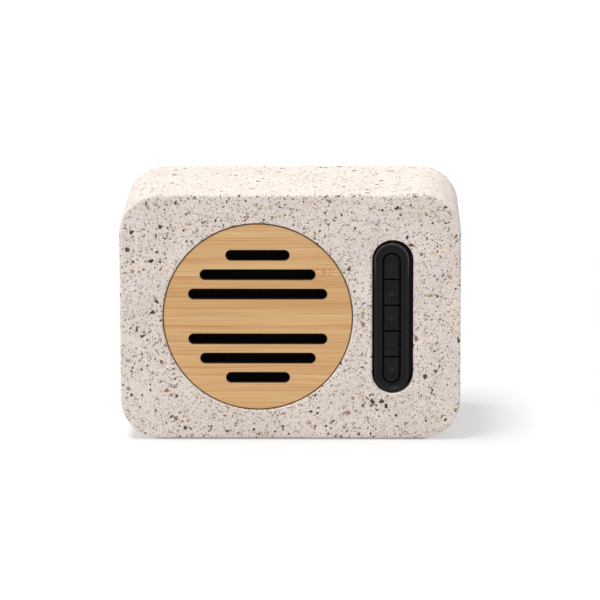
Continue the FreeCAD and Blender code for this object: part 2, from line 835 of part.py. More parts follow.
switches = []
for number, label in enumerate(KEYS):
    height = keypad_middle + dims.key_row_lift + (number - 2) * dims.key_pitch
    key = body(label, dims.keypad_x, zero, height)
    slab(key, key_front, key_lip_front, key_outline(dims.key_width, number))
    soften(key, "Chamfer", dims.key_edge, flat_at(key_front))
    slab(key, key_lip_front, key_lip_back, key_outline(dims.key_lip_width, number))
    slab(key, key_lip_back, plunger_front, lambda d: rectangle(d, dims.key_stem_side, dims.key_stem_side))
    box(label.replace("_key", "_plunger"), dims.keypad_x, plunger_front, height - dims.plunger_side / 2,
        dims.plunger_side, dims.plunger_reach + dims.plunger_inside, dims.plunger_side)
    block = box("switch_block", dims.keypad_x, switch_front, height - dims.switch_side / 2,
                dims.switch_side, dims.switch_thickness, dims.switch_side, False)
    well_side = dims.plunger_side + 0.3
    well = box("switch_well", dims.keypad_x, switch_front - 1, height - well_side / 2,
               well_side, dims.switch_well_depth + 1, well_side, False)
    switch = doc.addObject("Part::Cut", "switch_body")
    switch.Base = block
    switch.Tool = well
    switches.append(switch)
group("switch_bodies", switches)

# Key board behind the bezel, with its screws and the plug of its ribbon
key_board = body("key_board", dims.keypad_x, zero, keypad_middle)


def key_board_outline(drawing):
    obround(drawing, flange_width - dims.key_board_margin * 2, flange_height - dims.key_board_margin * 2)
    key_board_screw_holes(small_shank + 0.3)(drawing)


slab(key_board, bezel_back, key_board_back, key_board_outline)
group("key_board_screws", [
    screw("key_board_screw", dims.keypad_x, key_board_back, keypad_middle + side * board_screw_z,
          key_board_back - wall_back - 0.1, small_shank, dims.key_board_screw_head,
          dims.key_board_screw_head_height)
    for side in (-1, 1)])

# Rear cover: a plate in the ledge of the case, with two shelves for the main board
cover = body("rear_cover", z=middle)
shelf_z = board_level - dims.shelf_thickness / 2 - middle
shelf_spots = [dims.board_x + side * (dims.board_width / 2 - dims.shelf_width / 2 - 1) for side in (-1, 1)]
board_screw_y = board_front + dims.board_screw_setback
socket_z = board_top + dims.socket_height / 2
lamp_z = board_top + dims.light_pipe_diameter / 2 + 0.2


def plate_outline(margin):
    def draw(drawing):
        reach = dims.cover_ledge * 2 - margin * 2
        rounded(drawing, hollow_width + reach, hollow_height + reach, hollow_radius + reach / 2)
    return draw


def shelves_outline(drawing):
    for spot in shelf_spots:
        rectangle(drawing, dims.shelf_width, dims.shelf_thickness, spot, shelf_z)


def cover_openings(drawing):
    obround(drawing, dims.socket_width + dims.socket_window_gap * 2,
            dims.socket_height + dims.socket_window_gap * 2, dims.board_x, socket_z - middle)
    circle(drawing, dims.light_pipe_diameter + 0.1, dims.board_x + dims.lamp_shift, lamp_z - middle)
    circle(drawing, dims.microphone_hole, dims.board_x + dims.microphone_shift, lamp_z - middle)
    post_circles(dims.screw_shank + 0.4)(drawing)


slab(cover, cover_front, cover_back, plate_outline(dims.cover_gap))
slab(cover, board_front + 1, cover_front, shelves_outline)
cut(cover, cover_front - 1, cover_back + 1, cover_openings)
cut(cover, cover_back - dims.screw_head_height - 0.1, cover_back + 1, post_circles(dims.screw_head + 0.4))
pilots = sketch(cover, "XY_Plane", board_level - middle)
for spot in shelf_spots:
    circle(pilots, dims.screw_shank + 0.1, spot, board_screw_y)
pocket(cover, pilots, dims.shelf_thickness + 1)

gasket = body("rear_gasket", z=middle)


def gasket_outline(drawing):
    plate_outline(dims.cover_gap)(drawing)
    plate_outline(dims.cover_ledge - 0.4)(drawing)


slab(gasket, ledge, cover_front, gasket_outline)
group("rear_cover_screws", [
    screw("rear_cover_screw", x, cover_back - dims.screw_head_height - 0.1, middle + z,
          dims.screw_grip + dims.cover_thickness - dims.screw_head_height - 0.1,
          dims.screw_shank, dims.screw_head, dims.screw_head_height)
    for x, z in four(post_x, post_z)])

# Main board on the two shelves
board = body("main_board", z=board_level)
face = sketch(board, "XY_Plane")
rectangle(face, dims.board_width, dims.board_length - 0.1, dims.board_x, board_front + dims.board_length / 2)
for spot in shelf_spots:
    circle(face, dims.screw_shank + 0.4, spot, board_screw_y)
pad(board, face, dims.board_thickness)


def upright_rod(label, x, y, z, diameter, length, listed=False):
    """A round bar along Z that begins at z."""
    made = doc.addObject("Part::Cylinder", label)
    made.Label = label
    made.setExpression("Radius", (diameter / 2).text)
    made.setExpression("Height", length.text)
    place(made, x, y, z)
    if listed:
        pieces.append(made)
    return made


board_screws = []
for spot in shelf_spots:
    head = upright_rod("board_screw_head", spot, board_screw_y, board_top, dims.screw_head,
                       dims.board_screw_head_height)
    grip = dims.board_thickness + dims.shelf_thickness
    shank = upright_rod("board_screw_shank", spot, board_screw_y, board_top - grip, dims.screw_shank, grip)
    board_screws.append(fuse("board_screw", [head, shank], False))
group("board_screws", board_screws)

# Charge socket: an obround metal shell open to the back, with a tongue inside
socket = body("charge_socket", dims.board_x, zero, socket_z)
socket_back = cover_front + dims.socket_reach
socket_front = socket_back - dims.socket_length
shell = dims.socket_wall
slab(socket, socket_front, socket_back, lambda d: obround(d, dims.socket_width, dims.socket_height))
cut(socket, socket_front + 1, socket_back + 1,
    lambda d: obround(d, dims.socket_width - shell * 2, dims.socket_height - shell * 2))
slab(socket, socket_front + 0.5, socket_back - 1.2,
     lambda d: rectangle(d, dims.socket_width - dims.tongue_margin * 2, dims.tongue_height))

# Parts soldered on the main board
lamp_x = dims.board_x + dims.lamp_shift
lamp_back = cover_front - dims.light_pipe_inside
box("charge_lamp", lamp_x, lamp_back - dims.lamp_depth, board_top,
    dims.lamp_width, dims.lamp_depth, dims.lamp_height)
rod("light_pipe", lamp_x, lamp_back, lamp_z, dims.light_pipe_diameter, cover_back - lamp_back)
microphone_front = cover_front - dims.microphone_gap - dims.microphone_depth
box("microphone", dims.board_x + dims.microphone_shift, microphone_front, board_top,
    dims.microphone_width, dims.microphone_depth, dims.microphone_height)
module_front = board_front + dims.module_setback
box("wireless_module", dims.board_x + dims.module_shift, module_front, board_top,
    dims.module_width, microphone_front - dims.module_gap - module_front, dims.module_height)
box("amplifier_chip", dims.board_x, board_front + dims.amplifier_setback, board_top,
    dims.amplifier_width, dims.amplifier_length, dims.amplifier_height)
group("capacitors", [
    upright_rod("capacitor", dims.board_x + dims.capacitor_shift + number * dims.capacitor_pitch,
                board_front + dims.capacitor_setback, board_top, dims.capacitor_diameter, dims.capacitor_height)
    for number in range(2)])
lead_x = dims.board_x + dims.battery_plug_shift
plug_y = board_front + dims.battery_plug_setback
box("driver_plug", dims.board_x, board_front + dims.driver_plug_setback, board_top,
    dims.driver_plug_width, dims.driver_plug_length, dims.plug_height)
box("battery_plug", lead_x, plug_y, board_top,
    dims.battery_plug_width, dims.battery_plug_length, dims.plug_height)
ribbon_z = keypad_middle - board_screw_z + dims.key_plug_lift
ribbon_plug_x = dims.board_x + dims.board_width / 2 - dims.ribbon_plug_width / 2 - dims.ribbon_plug_margin
ribbon_plug_y = board_front + dims.ribbon_plug_setback
box("board_ribbon_plug", ribbon_plug_x, ribbon_plug_y, board_top, dims.ribbon_plug_width,
    dims.ribbon_plug_length, ribbon_z + dims.key_plug_height / 2 - board_top)
ribbon_x = dims.keypad_x
box("key_ribbon_plug", ribbon_x, key_board_back, ribbon_z - dims.key_plug_height / 2,
    dims.key_plug_width, dims.key_plug_depth, dims.key_plug_height)

# Battery on a foam pad, stuck to the inside of the cover
battery_z = middle + dims.battery_lift
battery = body("battery_cell", dims.board_x, zero, battery_z)
slab(battery, battery_front, battery_back,
     lambda d: rounded(d, dims.battery_width, dims.battery_height, dims.battery_corner))
box("battery_pad", dims.board_x, battery_back, battery_z - dims.battery_height / 2 + dims.battery_pad_margin_z,
    dims.battery_width - dims.battery_pad_margin_x * 2, dims.battery_pad_thickness,
    dims.battery_height - dims.battery_pad_margin_z * 2)


def flat_lead(label, points, bend, across, thickness, width):
    """A flat lead: straight runs with round bends in one plane, and its width across that plane."""
    spots = [Vector(*(size.value for size in point)) for point in points]
    edges = []
    start = spots[0]
    for before, corner, after in zip(spots, spots[1:], spots[2:]):
        into = (corner - before).normalize()
        out = (after - corner).normalize()
        if (out - into).Length < TINY:
            continue
        trim = bend.value * ((1 - into.dot(out)) / (1 + into.dot(out))) ** 0.5
        enter = corner - into * trim
        leave = corner + out * trim
        inward = (out - into).normalize()
        centre_reach = (bend.value ** 2 + trim ** 2) ** 0.5
        halfway = corner + inward * (centre_reach - bend.value)
        edges.append(Part.LineSegment(start, enter).toShape())
        edges.append(Part.Arc(enter, halfway, leave).toShape())
        start = leave
    edges.append(Part.LineSegment(start, spots[-1]).toShape())
    along = (spots[1] - spots[0]).normalize()
    side = along.cross(across)
    corners = [spots[0] + across * (width.value * u) + side * (thickness.value * v)
               for u, v in ((-0.5, -0.5), (0.5, -0.5), (0.5, 0.5), (-0.5, 0.5))]
    section = Part.makePolygon(corners + corners[:1])
    made = doc.addObject("Part::Feature", label)
    made.Label = label
    made.Shape = Part.Wire(edges).makePipeShell([section], True, False)
    pieces.append(made)


battery_middle = (battery_front + battery_back) / 2
battery_low = battery_z - dims.battery_height / 2
plug_top = board_top + dims.plug_height
plug_middle = plug_y + dims.battery_plug_length / 2
flat_lead("battery_lead", [(lead_x, battery_middle, battery_low),
                           (lead_x, battery_middle, battery_low - dims.battery_lead_drop),
                           (lead_x, plug_middle, plug_top + dims.battery_lead_rise),
                           (lead_x, plug_middle, plug_top)],
          dims.lead_bend, Vector(1, 0, 0), dims.lead_thickness, dims.lead_width)

# The driver lead dips under the basket on its way from the terminals to the board
strip_back = flange_back + dims.terminal_depth
strip_z = strip_low + strip_height / 2
lead_z = board_top + dims.plug_height / 2
plug_front = board_front + dims.driver_plug_setback
dip_y = (strip_back + plug_front) / 2
flat_lead("driver_lead", [(dims.grille_x, strip_back, strip_z),
                          (dims.grille_x, strip_back + dims.lead_run, strip_z),
                          (dims.grille_x, dip_y, strip_z - dims.lead_dip),
                          (dims.grille_x, plug_front - dims.lead_run - dims.lead_rise / 2, lead_z),
                          (dims.grille_x, plug_front, lead_z)],
          dims.lead_bend, Vector(1, 0, 0), dims.lead_thickness, dims.lead_width)
ribbon_turn_y = ribbon_plug_y + dims.ribbon_plug_length / 2
flat_lead("key_ribbon", [(ribbon_x, key_board_back + dims.key_plug_depth, ribbon_z),
                         (ribbon_x, ribbon_turn_y, ribbon_z),
                         (ribbon_plug_x + dims.ribbon_plug_width / 2, ribbon_turn_y, ribbon_z)],
          dims.ribbon_bend, Vector(0, 0, 1), dims.ribbon_thickness, dims.ribbon_width)

# Check every feature and write one file for each piece
doc.recompute()
broken = [item.Label for item in doc.Objects if {"Invalid", "Error"} & set(item.State)]
broken += [piece.Label for piece in pieces if piece.Shape.isNull() or not piece.Shape.isValid()]
if broken:
    raise RuntimeError("these did not build: " + ", ".join(broken))
os.makedirs("parts", exist_ok=True)
for piece in pieces:
    piece.Shape.exportStep(f"parts/{piece.Label}.step")
print(len(pieces), "pieces written")
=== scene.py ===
# %% [markdown]
# A small wireless speaker: a block of cast stone with coloured chips, a round bamboo grille and a
# strip of five black keys. The measured solids are already packed, so the lesson starts from them
# and only adds what solids are poor at: finishes, cloth, soft rubber and small raised marks.
# Loading the frame first means that every later piece can be placed in real metres.

# %% Load the measured frame
import math

import bmesh
import bpy
from mathutils import Matrix, Vector


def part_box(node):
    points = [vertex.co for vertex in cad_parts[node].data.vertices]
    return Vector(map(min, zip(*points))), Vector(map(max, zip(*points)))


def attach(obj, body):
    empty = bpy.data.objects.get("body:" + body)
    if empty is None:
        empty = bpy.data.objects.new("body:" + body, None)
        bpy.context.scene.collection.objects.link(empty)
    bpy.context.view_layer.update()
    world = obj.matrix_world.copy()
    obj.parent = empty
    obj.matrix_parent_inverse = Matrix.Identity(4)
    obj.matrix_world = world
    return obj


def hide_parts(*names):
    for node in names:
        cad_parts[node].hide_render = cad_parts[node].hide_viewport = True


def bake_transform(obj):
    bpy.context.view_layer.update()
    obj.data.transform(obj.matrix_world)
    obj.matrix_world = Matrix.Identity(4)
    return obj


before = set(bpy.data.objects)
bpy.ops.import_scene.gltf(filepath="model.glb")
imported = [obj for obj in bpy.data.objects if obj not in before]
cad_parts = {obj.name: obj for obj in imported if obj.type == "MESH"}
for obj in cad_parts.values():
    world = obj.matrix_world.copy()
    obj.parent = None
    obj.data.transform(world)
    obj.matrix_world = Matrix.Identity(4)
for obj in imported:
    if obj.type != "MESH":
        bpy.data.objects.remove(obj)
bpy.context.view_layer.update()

MM = 0.001


def centre(node_name):
    """The middle of a CAD node's box, in millimetres."""
    low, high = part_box(node_name)
    return (Vector(low) + Vector(high)) / (2.0 * MM)


DRIVER_X, _, MIDDLE_Z = centre("magnet")
print("driver axis at x", round(DRIVER_X, 2), "z", round(MIDDLE_Z, 2))

# %% [markdown]
# The photograph is a catalogue picture, taken from far away with a long lens, a little above the
# speaker and almost square to its front. A near camera with a wide lens could frame it too, but
# then the top would open up like a fan. A long lens at 1.4 metres keeps the sides parallel.

# %% Camera
CAMERA_TARGET = Vector((3.153, -27.0, 46.249)) * MM
CAMERA_DISTANCE = 1.4
CAMERA_PITCH = math.radians(11.668)
CAMERA_YAW = math.radians(0.83)
CAMERA_ROLL = math.radians(-0.129)
LENS_LENGTH = 260.53
SENSOR_WIDTH = 36.0

scene = bpy.context.scene
scene.view_settings.view_transform = "Standard"
lens = bpy.data.cameras.new("catalogue_lens")
lens.sensor_width = SENSOR_WIDTH
lens.lens = LENS_LENGTH
lens.clip_start = 0.05
camera = bpy.data.objects.new("catalogue_camera", lens)
scene.collection.objects.link(camera)
back = Vector((
    math.sin(CAMERA_YAW) * math.cos(CAMERA_PITCH),
    -math.cos(CAMERA_YAW) * math.cos(CAMERA_PITCH),
    math.sin(CAMERA_PITCH),
))
level = (-back).cross(Vector((0, 0, 1))).normalized()
upward = level.cross(-back)
right = level * math.cos(CAMERA_ROLL) + upward * math.sin(CAMERA_ROLL)
top = upward * math.cos(CAMERA_ROLL) - level * math.sin(CAMERA_ROLL)
turn = Matrix((right, top, back)).transposed().to_4x4()
camera.matrix_world = Matrix.Translation(CAMERA_TARGET + back * CAMERA_DISTANCE) @ turn
scene.camera = camera
print("camera at", [round(v, 3) for v in camera.location])

# %% [markdown]
# Shader nodes are easier to read when one helper makes a node, sets its options and feeds its
# inputs. A number goes straight into a socket, and a socket is linked. A second helper mixes two
# colours, because the Mix node keeps several sets of sockets and only one of them is for colour.

# %% Helpers for shader nodes
def add(tree, kind, inputs=None, **options):
    """One shader node with its options set and its inputs fed."""
    made = tree.nodes.new(kind)
    for name, value in options.items():
        setattr(made, name, value)
    for name, value in (inputs or {}).items():
        feed(tree, made.inputs[name], value)
    return made


def feed(tree, socket, value):
    """Links a socket to another one, or sets it to a plain value."""
    if isinstance(value, bpy.types.NodeSocket):
        tree.links.new(value, socket)
    else:
        socket.default_value = value


def colour(red, green, blue):
    """An opaque colour."""
    return (red, green, blue, 1.0)


def mixed(tree, share, under, over):
    """A colour between under and over."""
    made = add(tree, "ShaderNodeMix", data_type="RGBA")
    feed(tree, made.inputs[0], share)
    feed(tree, made.inputs[6], under)
    feed(tree, made.inputs[7], over)
    return made.outputs[2]


def math_node(tree, operation, first, second=0.0):
    """The result of one sum on two values."""
    made = add(tree, "ShaderNodeMath", operation=operation)
    feed(tree, made.inputs[0], first)
    feed(tree, made.inputs[1], second)
    return made.outputs[0]


def ranged(tree, value, low, high, to_low=0.0, to_high=1.0, smooth=False):
    """A value moved from one range to another, and held inside it."""
    made = add(tree, "ShaderNodeMapRange", {
        "Value": value, "From Min": low, "From Max": high, "To Min": to_low, "To Max": to_high,
    })
    if smooth:
        made.interpolation_type = "SMOOTHSTEP"
    return made.outputs["Result"]


def ramp(tree, share, stops):
    """A row of colours that share picks from."""
    made = add(tree, "ShaderNodeValToRGB", {"Fac": share})
    band = made.color_ramp
    while len(band.elements) < len(stops):
        band.elements.new(0.5)
    for element, (place, tint) in zip(band.elements, stops):
        element.position = place
        element.color = tint
    return made.outputs["Color"]


def noise(tree, where, scale, detail=3.0, roughness=0.55):
    """A cloudy pattern in space; a larger scale makes it finer."""
    return add(tree, "ShaderNodeTexNoise", {
        "Vector": where, "Scale": scale, "Detail": detail, "Roughness": roughness,
    })


def stretched(tree, where, factors):
    """Coordinates scaled by a different factor along each axis."""
    made = add(tree, "ShaderNodeVectorMath", {0: where, 1: factors}, operation="MULTIPLY")
    return made.outputs["Vector"]


def bumped(tree, shader, height, distance, strength, edge=0.0):
    """Fine relief of a depth in mm, and where edge is set, corners that catch light as if rounded."""
    made = add(tree, "ShaderNodeBump", {
        "Height": height, "Distance": distance * MM, "Strength": strength,
    })
    if edge:
        soft = add(tree, "ShaderNodeBevel", {"Radius": edge * MM}, samples=4)
        tree.links.new(soft.outputs["Normal"], made.inputs["Normal"])
    tree.links.new(made.outputs["Normal"], shader.inputs["Normal"])


def finish(name, roughness, metallic=0.0):
    """A new material, its node tree, its shader and the object's own coordinates in metres."""
    material = bpy.data.materials.new(name)
    material.use_nodes = True
    tree = material.node_tree
    shader = tree.nodes["Principled BSDF"]
    shader.inputs["Roughness"].default_value = roughness
    shader.inputs["Metallic"].default_value = metallic
    where = add(tree, "ShaderNodeTexCoord").outputs["Object"]
    return material, tree, shader, where


finishes = {}
print("shader helpers ready")

# %% [markdown]
# The floor and the light make the catalogue look: a white sweep, even light from all around, and one
# large softbox overhead. A small lamp would draw a hard shadow. The softbox is long from front to back
# and hangs a little to the left, so a short soft shadow lies to the right of the speaker. The floor
# also has a glow of its own, which lifts that shadow to the pale grey of the picture. Further out the
# glow takes over, so the floor melts into the white room, and right under the case it fades, so a thin
# dark line stays there. The camera and shiny or clear surfaces see the glow, and it lights nothing else.

# %% Floor and light
FLOOR_HALF = 6.0
FLOOR_SPECK = 40.0
FLOOR_GLOW = 0.67
GLOW_STRENGTH = 0.825
# metres from the middle: where the glow starts to grow, where it is white, where it has taken over
GLOW_NEAR = 0.3
GLOW_WHITE = 0.7
GLOW_FAR = 1.5
# half sizes in mm of the patch under the case that has no glow, and the width of its soft edge
CONTACT_HALVES = {"X": 43.0, "Y": 25.4}
CONTACT_FADE = 1.5
ROOM_LIGHT = 0.485
SOFTBOX_TILT = math.radians(12.8)
SOFTBOX_REACH = 5.95
SOFTBOX_FORWARD = 0.6
SOFTBOX_WIDTH = 1.7
SOFTBOX_LENGTH = 3.0
SOFTBOX_POWER = 423.0


def seen_directly(tree):
    """One for a ray from the camera or from a shiny or clear surface, and nothing for scattered light."""
    path = add(tree, "ShaderNodeLightPath")
    plain = math_node(tree, "MAXIMUM", path.outputs["Is Camera Ray"], path.outputs["Is Glossy Ray"])
    return math_node(tree, "MAXIMUM", plain, path.outputs["Is Transmission Ray"])


sweep = bpy.data.meshes.new("white_floor")
sides = ((-1, -1), (1, -1), (1, 1), (-1, 1))
sweep.from_pydata([(x * FLOOR_HALF, y * FLOOR_HALF, 0) for x, y in sides], [], [(0, 1, 2, 3)])
floor = bpy.data.objects.new("white_floor", sweep)
scene.collection.objects.link(floor)
paint, tree, shader, where = finish("white_floor_paint", 0.9)
speck = noise(tree, where, FLOOR_SPECK).outputs["Fac"]
feed(tree, shader.inputs["Base Color"],
     mixed(tree, speck, colour(0.89, 0.89, 0.89), colour(0.91, 0.91, 0.91)))
shader.inputs["Specular IOR Level"].default_value = 0.0
out = add(tree, "ShaderNodeVectorMath", {0: where}, operation="LENGTH").outputs["Value"]
glow = add(tree, "ShaderNodeEmission", {
    "Strength": ranged(tree, out, GLOW_NEAR, GLOW_WHITE, GLOW_STRENGTH, 1.0),
})
share = ranged(tree, out, GLOW_NEAR, GLOW_FAR, FLOOR_GLOW, 1.0)
spot = add(tree, "ShaderNodeSeparateXYZ", {"Vector": where})
beyond = [
    math_node(tree, "SUBTRACT", math_node(tree, "ABSOLUTE", spot.outputs[axis]), half * MM)
    for axis, half in CONTACT_HALVES.items()
]
uncovered = ranged(tree, math_node(tree, "MAXIMUM", *beyond), -CONTACT_FADE * MM, CONTACT_FADE * MM)
share = math_node(tree, "MULTIPLY", share, uncovered)
share = math_node(tree, "MULTIPLY", share, seen_directly(tree))
blend = add(tree, "ShaderNodeMixShader", {0: share, 1: shader.outputs["BSDF"], 2: glow.outputs[0]})
tree.links.new(blend.outputs[0], tree.nodes["Material Output"].inputs["Surface"])
sweep.materials.append(paint)

softbox = bpy.data.lights.new("overhead_softbox", "AREA")
softbox.shape = "RECTANGLE"
softbox.size = SOFTBOX_WIDTH
softbox.size_y = SOFTBOX_LENGTH
softbox.energy = SOFTBOX_POWER
softbox_object = bpy.data.objects.new("overhead_softbox", softbox)
softbox_object.rotation_euler = (0.0, -SOFTBOX_TILT, 0.0)
softbox_turn = softbox_object.rotation_euler.to_matrix()
softbox_object.location = softbox_turn @ Vector((0.0, -SOFTBOX_FORWARD, SOFTBOX_REACH))
softbox_object.visible_camera = False
scene.collection.objects.link(softbox_object)

world = bpy.data.worlds.new("white_room")
world.use_nodes = True
sky = world.node_tree
room = sky.nodes["Background"]
room.inputs["Color"].default_value = colour(1.0, 1.0, 1.0)
feed(sky, room.inputs["Strength"], ranged(sky, seen_directly(sky), 0.0, 1.0, ROOM_LIGHT, 1.0))
scene.world = world
print("floor, softbox and room light ready")

# %% [markdown]
# The case is cast from a pale binder filled with crushed stone. Seen close, each chip is a small
# angular crumb, and no two are alike. A picture of terrazzo could be wrapped round the block, but it
# would stretch at the rounded edges. A Voronoi texture in space cuts the whole block into crumbs
# instead, so the chips run round every edge as they do in a solid casting. Each layer keeps a share
# of its cells, shrinks them from their edges, and takes their tint from the cell's own random colour.

# %% Cast stone
WANDER_SCALE, CHIP_WANDER = 1400.0, 0.7
CLOUD_SCALE, CLOUD_SHARE = 90.0, 0.45
GRAIN_SCALE, GRAIN_SHARE = 2600.0, 0.55
HUE_SCALE = 420.0
DUST_SCALE, DUST_DARK, DUST_LIGHT = 5200.0, 0.80, 1.20
CHIP_ROUGHNESS, BINDER_ROUGHNESS = 0.46, 0.66
STONE_GLOSS = 0.36
STONE_RELIEF = 0.04
CHIP_SOFTNESS = 0.05
BINDER_COOL = colour(0.708, 0.657, 0.643)
BINDER_WARM = colour(0.757, 0.655, 0.574)
BINDER_DARK = colour(0.607, 0.535, 0.493)
FAINT_TINTS = (
    (0.00, colour(0.420, 0.360, 0.315)), (0.35, colour(0.520, 0.465, 0.420)),
    (0.70, colour(0.610, 0.520, 0.440)), (1.00, colour(0.800, 0.760, 0.720)),
)
CRUMB_TINTS = (
    (0.00, colour(0.092, 0.059, 0.040)), (0.18, colour(0.168, 0.114, 0.080)),
    (0.36, colour(0.268, 0.178, 0.126)), (0.55, colour(0.420, 0.300, 0.208)),
    (0.78, colour(0.530, 0.425, 0.335)), (1.00, colour(0.640, 0.600, 0.570)),
)
CHIP_TINTS = (
    (0.00, colour(0.032, 0.020, 0.013)), (0.22, colour(0.086, 0.056, 0.038)),
    (0.28, colour(0.192, 0.110, 0.080)), (0.48, colour(0.325, 0.195, 0.134)),
    (0.54, colour(0.480, 0.330, 0.200)), (0.80, colour(0.560, 0.450, 0.340)),
    (1.00, colour(0.360, 0.315, 0.285)),
)
LARGE_TINTS = (
    (0.00, colour(0.030, 0.020, 0.014)), (0.55, colour(0.092, 0.064, 0.046)),
    (0.62, colour(0.255, 0.122, 0.096)), (1.00, colour(0.420, 0.295, 0.185)),
)
CHIP_LAYERS = (
    # cell in mm, share of cells kept, smallest and largest rim, tints
    (0.34, 0.42, 0.02, 0.20, FAINT_TINTS),
    (0.46, 0.27, 0.02, 0.22, CRUMB_TINTS),
    (0.86, 0.17, 0.02, 0.20, CHIP_TINTS),
    (1.55, 0.034, 0.02, 0.20, LARGE_TINTS),
)


def chip_layer(tree, where, cell, share, small_rim, large_rim, tints):
    """Where one size of chip shows, and its colour."""
    scale = 1.0 / (cell * MM)
    crumb = add(tree, "ShaderNodeTexVoronoi", {"Vector": where, "Scale": scale})
    edge = add(tree, "ShaderNodeTexVoronoi", {"Vector": where, "Scale": scale},
               feature="DISTANCE_TO_EDGE")
    random = add(tree, "ShaderNodeSeparateColor", {"Color": crumb.outputs["Color"]})
    kept = math_node(tree, "LESS_THAN", random.outputs["Red"], share)
    rim = ranged(tree, random.outputs["Green"], 0.0, 1.0, small_rim, large_rim)
    inside = math_node(tree, "SUBTRACT", edge.outputs["Distance"], rim)
    cover = math_node(tree, "MULTIPLY", kept, ranged(tree, inside, 0.0, CHIP_SOFTNESS, smooth=True))
    return cover, ramp(tree, random.outputs["Blue"], tints)


def cast_stone():
    """Pale binder with four sizes of chips in it and dust over all."""
    material, tree, shader, where = finish("cast_stone_finish", BINDER_ROUGHNESS)
    wander = noise(tree, where, WANDER_SCALE, 2.0).outputs["Color"]
    centred = add(tree, "ShaderNodeVectorMath", {0: wander, 1: (0.5, 0.5, 0.5)}, operation="SUBTRACT")
    drift = stretched(tree, centred.outputs["Vector"], (CHIP_WANDER * MM,) * 3)
    uneven = add(tree, "ShaderNodeVectorMath", {0: where, 1: drift}).outputs["Vector"]
    cloud = noise(tree, where, CLOUD_SCALE, 4.0).outputs["Fac"]
    grain = noise(tree, where, GRAIN_SCALE, 2.0).outputs["Fac"]
    patch = math_node(tree, "ADD", math_node(tree, "MULTIPLY", cloud, CLOUD_SHARE),
                      math_node(tree, "MULTIPLY", grain, GRAIN_SHARE))
    hue = noise(tree, where, HUE_SCALE, 3.0, 0.7).outputs["Fac"]
    pale = mixed(tree, ranged(tree, hue, 0.38, 0.62), BINDER_COOL, BINDER_WARM)
    tint = mixed(tree, ranged(tree, patch, 0.36, 0.62), BINDER_DARK, pale)
    chips = None
    for layer in CHIP_LAYERS:
        cover, chip_tint = chip_layer(tree, uneven, *layer)
        tint = mixed(tree, cover, tint, chip_tint)
        chips = cover if chips is None else math_node(tree, "MAXIMUM", chips, cover)
    dust = noise(tree, where, DUST_SCALE, 2.0, 0.7).outputs["Fac"]
    dusty = add(tree, "ShaderNodeHueSaturation", {
        "Color": tint, "Value": ranged(tree, dust, 0.3, 0.7, DUST_DARK, DUST_LIGHT),
    })
    feed(tree, shader.inputs["Base Color"], dusty.outputs["Color"])
    feed(tree, shader.inputs["Roughness"],
         ranged(tree, chips, 0.0, 1.0, BINDER_ROUGHNESS, CHIP_ROUGHNESS))
    shader.inputs["Specular IOR Level"].default_value = STONE_GLOSS
    height = math_node(tree, "ADD", grain, math_node(tree, "MULTIPLY", chips, 0.5))
    bumped(tree, shader, height, STONE_RELIEF, 0.5)
    return material


finishes["cast_stone"] = cast_stone()
print("cast stone:", len(CHIP_LAYERS), "layers of chips")

# %% [markdown]
# The grille is a disc sawn from a bamboo board. The board is glued up from narrow strips, each with
# fine fibres along it, a faint glue line between them, and here and there a knuckle of the cane where
# the fibres swell apart. Fibres could be painted on, but noise that is stretched along the strip gives
# them at every size. Moving its height near the knuckle bends them, as the growing cane does, and a few
# brown veins follow the bend.

# %% Fibres of the bamboo
STRIP_HEIGHT = 5.4
BAMBOO_TINTS = (
    (0.0, colour(0.490, 0.240, 0.079)), (0.35, colour(0.555, 0.310, 0.122)),
    (0.65, colour(0.612, 0.370, 0.162)), (1.0, colour(0.685, 0.452, 0.230)),
)
FIBRE_BROWN = colour(0.420, 0.166, 0.035)
# features per metre of each pattern along X, Y and Z
FINE_GRAIN = (22.0, 900.0, 3000.0)
BROAD_GRAIN = (12.0, 200.0, 520.0)
THREAD_GRAIN = (14.0, 400.0, 2400.0)
SWAY_GRAIN = (28.0, 10.0, 60.0)
FINE_SHARE, BROAD_SHARE = 0.55, 0.45
FIBRE_SWAY = 0.42
STRIP_SHIFT = 0.37
STRIP_TINT_START = 3.0
GLUE_LINE = 0.026
FIBRE_RELIEF = 0.03
WOBBLE_SCALE = 700.0
KNUCKLE_X, KNUCKLE_RISE = 10.8, 15.2
KNUCKLE_REACH = 3.0
KNUCKLE_STRETCH = 2.0
KNUCKLE_SWELL = 1.9
CROSSING_WAVE = 0.9
CROSSING_CORE, CROSSING_EDGE = 0.08, 0.32
CROSSING_FULL, CROSSING_END = 1.0, 1.7
VEIN_PITCH = 1.3
VEIN_WAVE = 1.1


def distance_of(tree, first, second):
    """The length of the two sides of a right angle taken together."""
    squares = [math_node(tree, "MULTIPLY", side, side) for side in (first, second)]
    return math_node(tree, "SQRT", math_node(tree, "ADD", *squares))


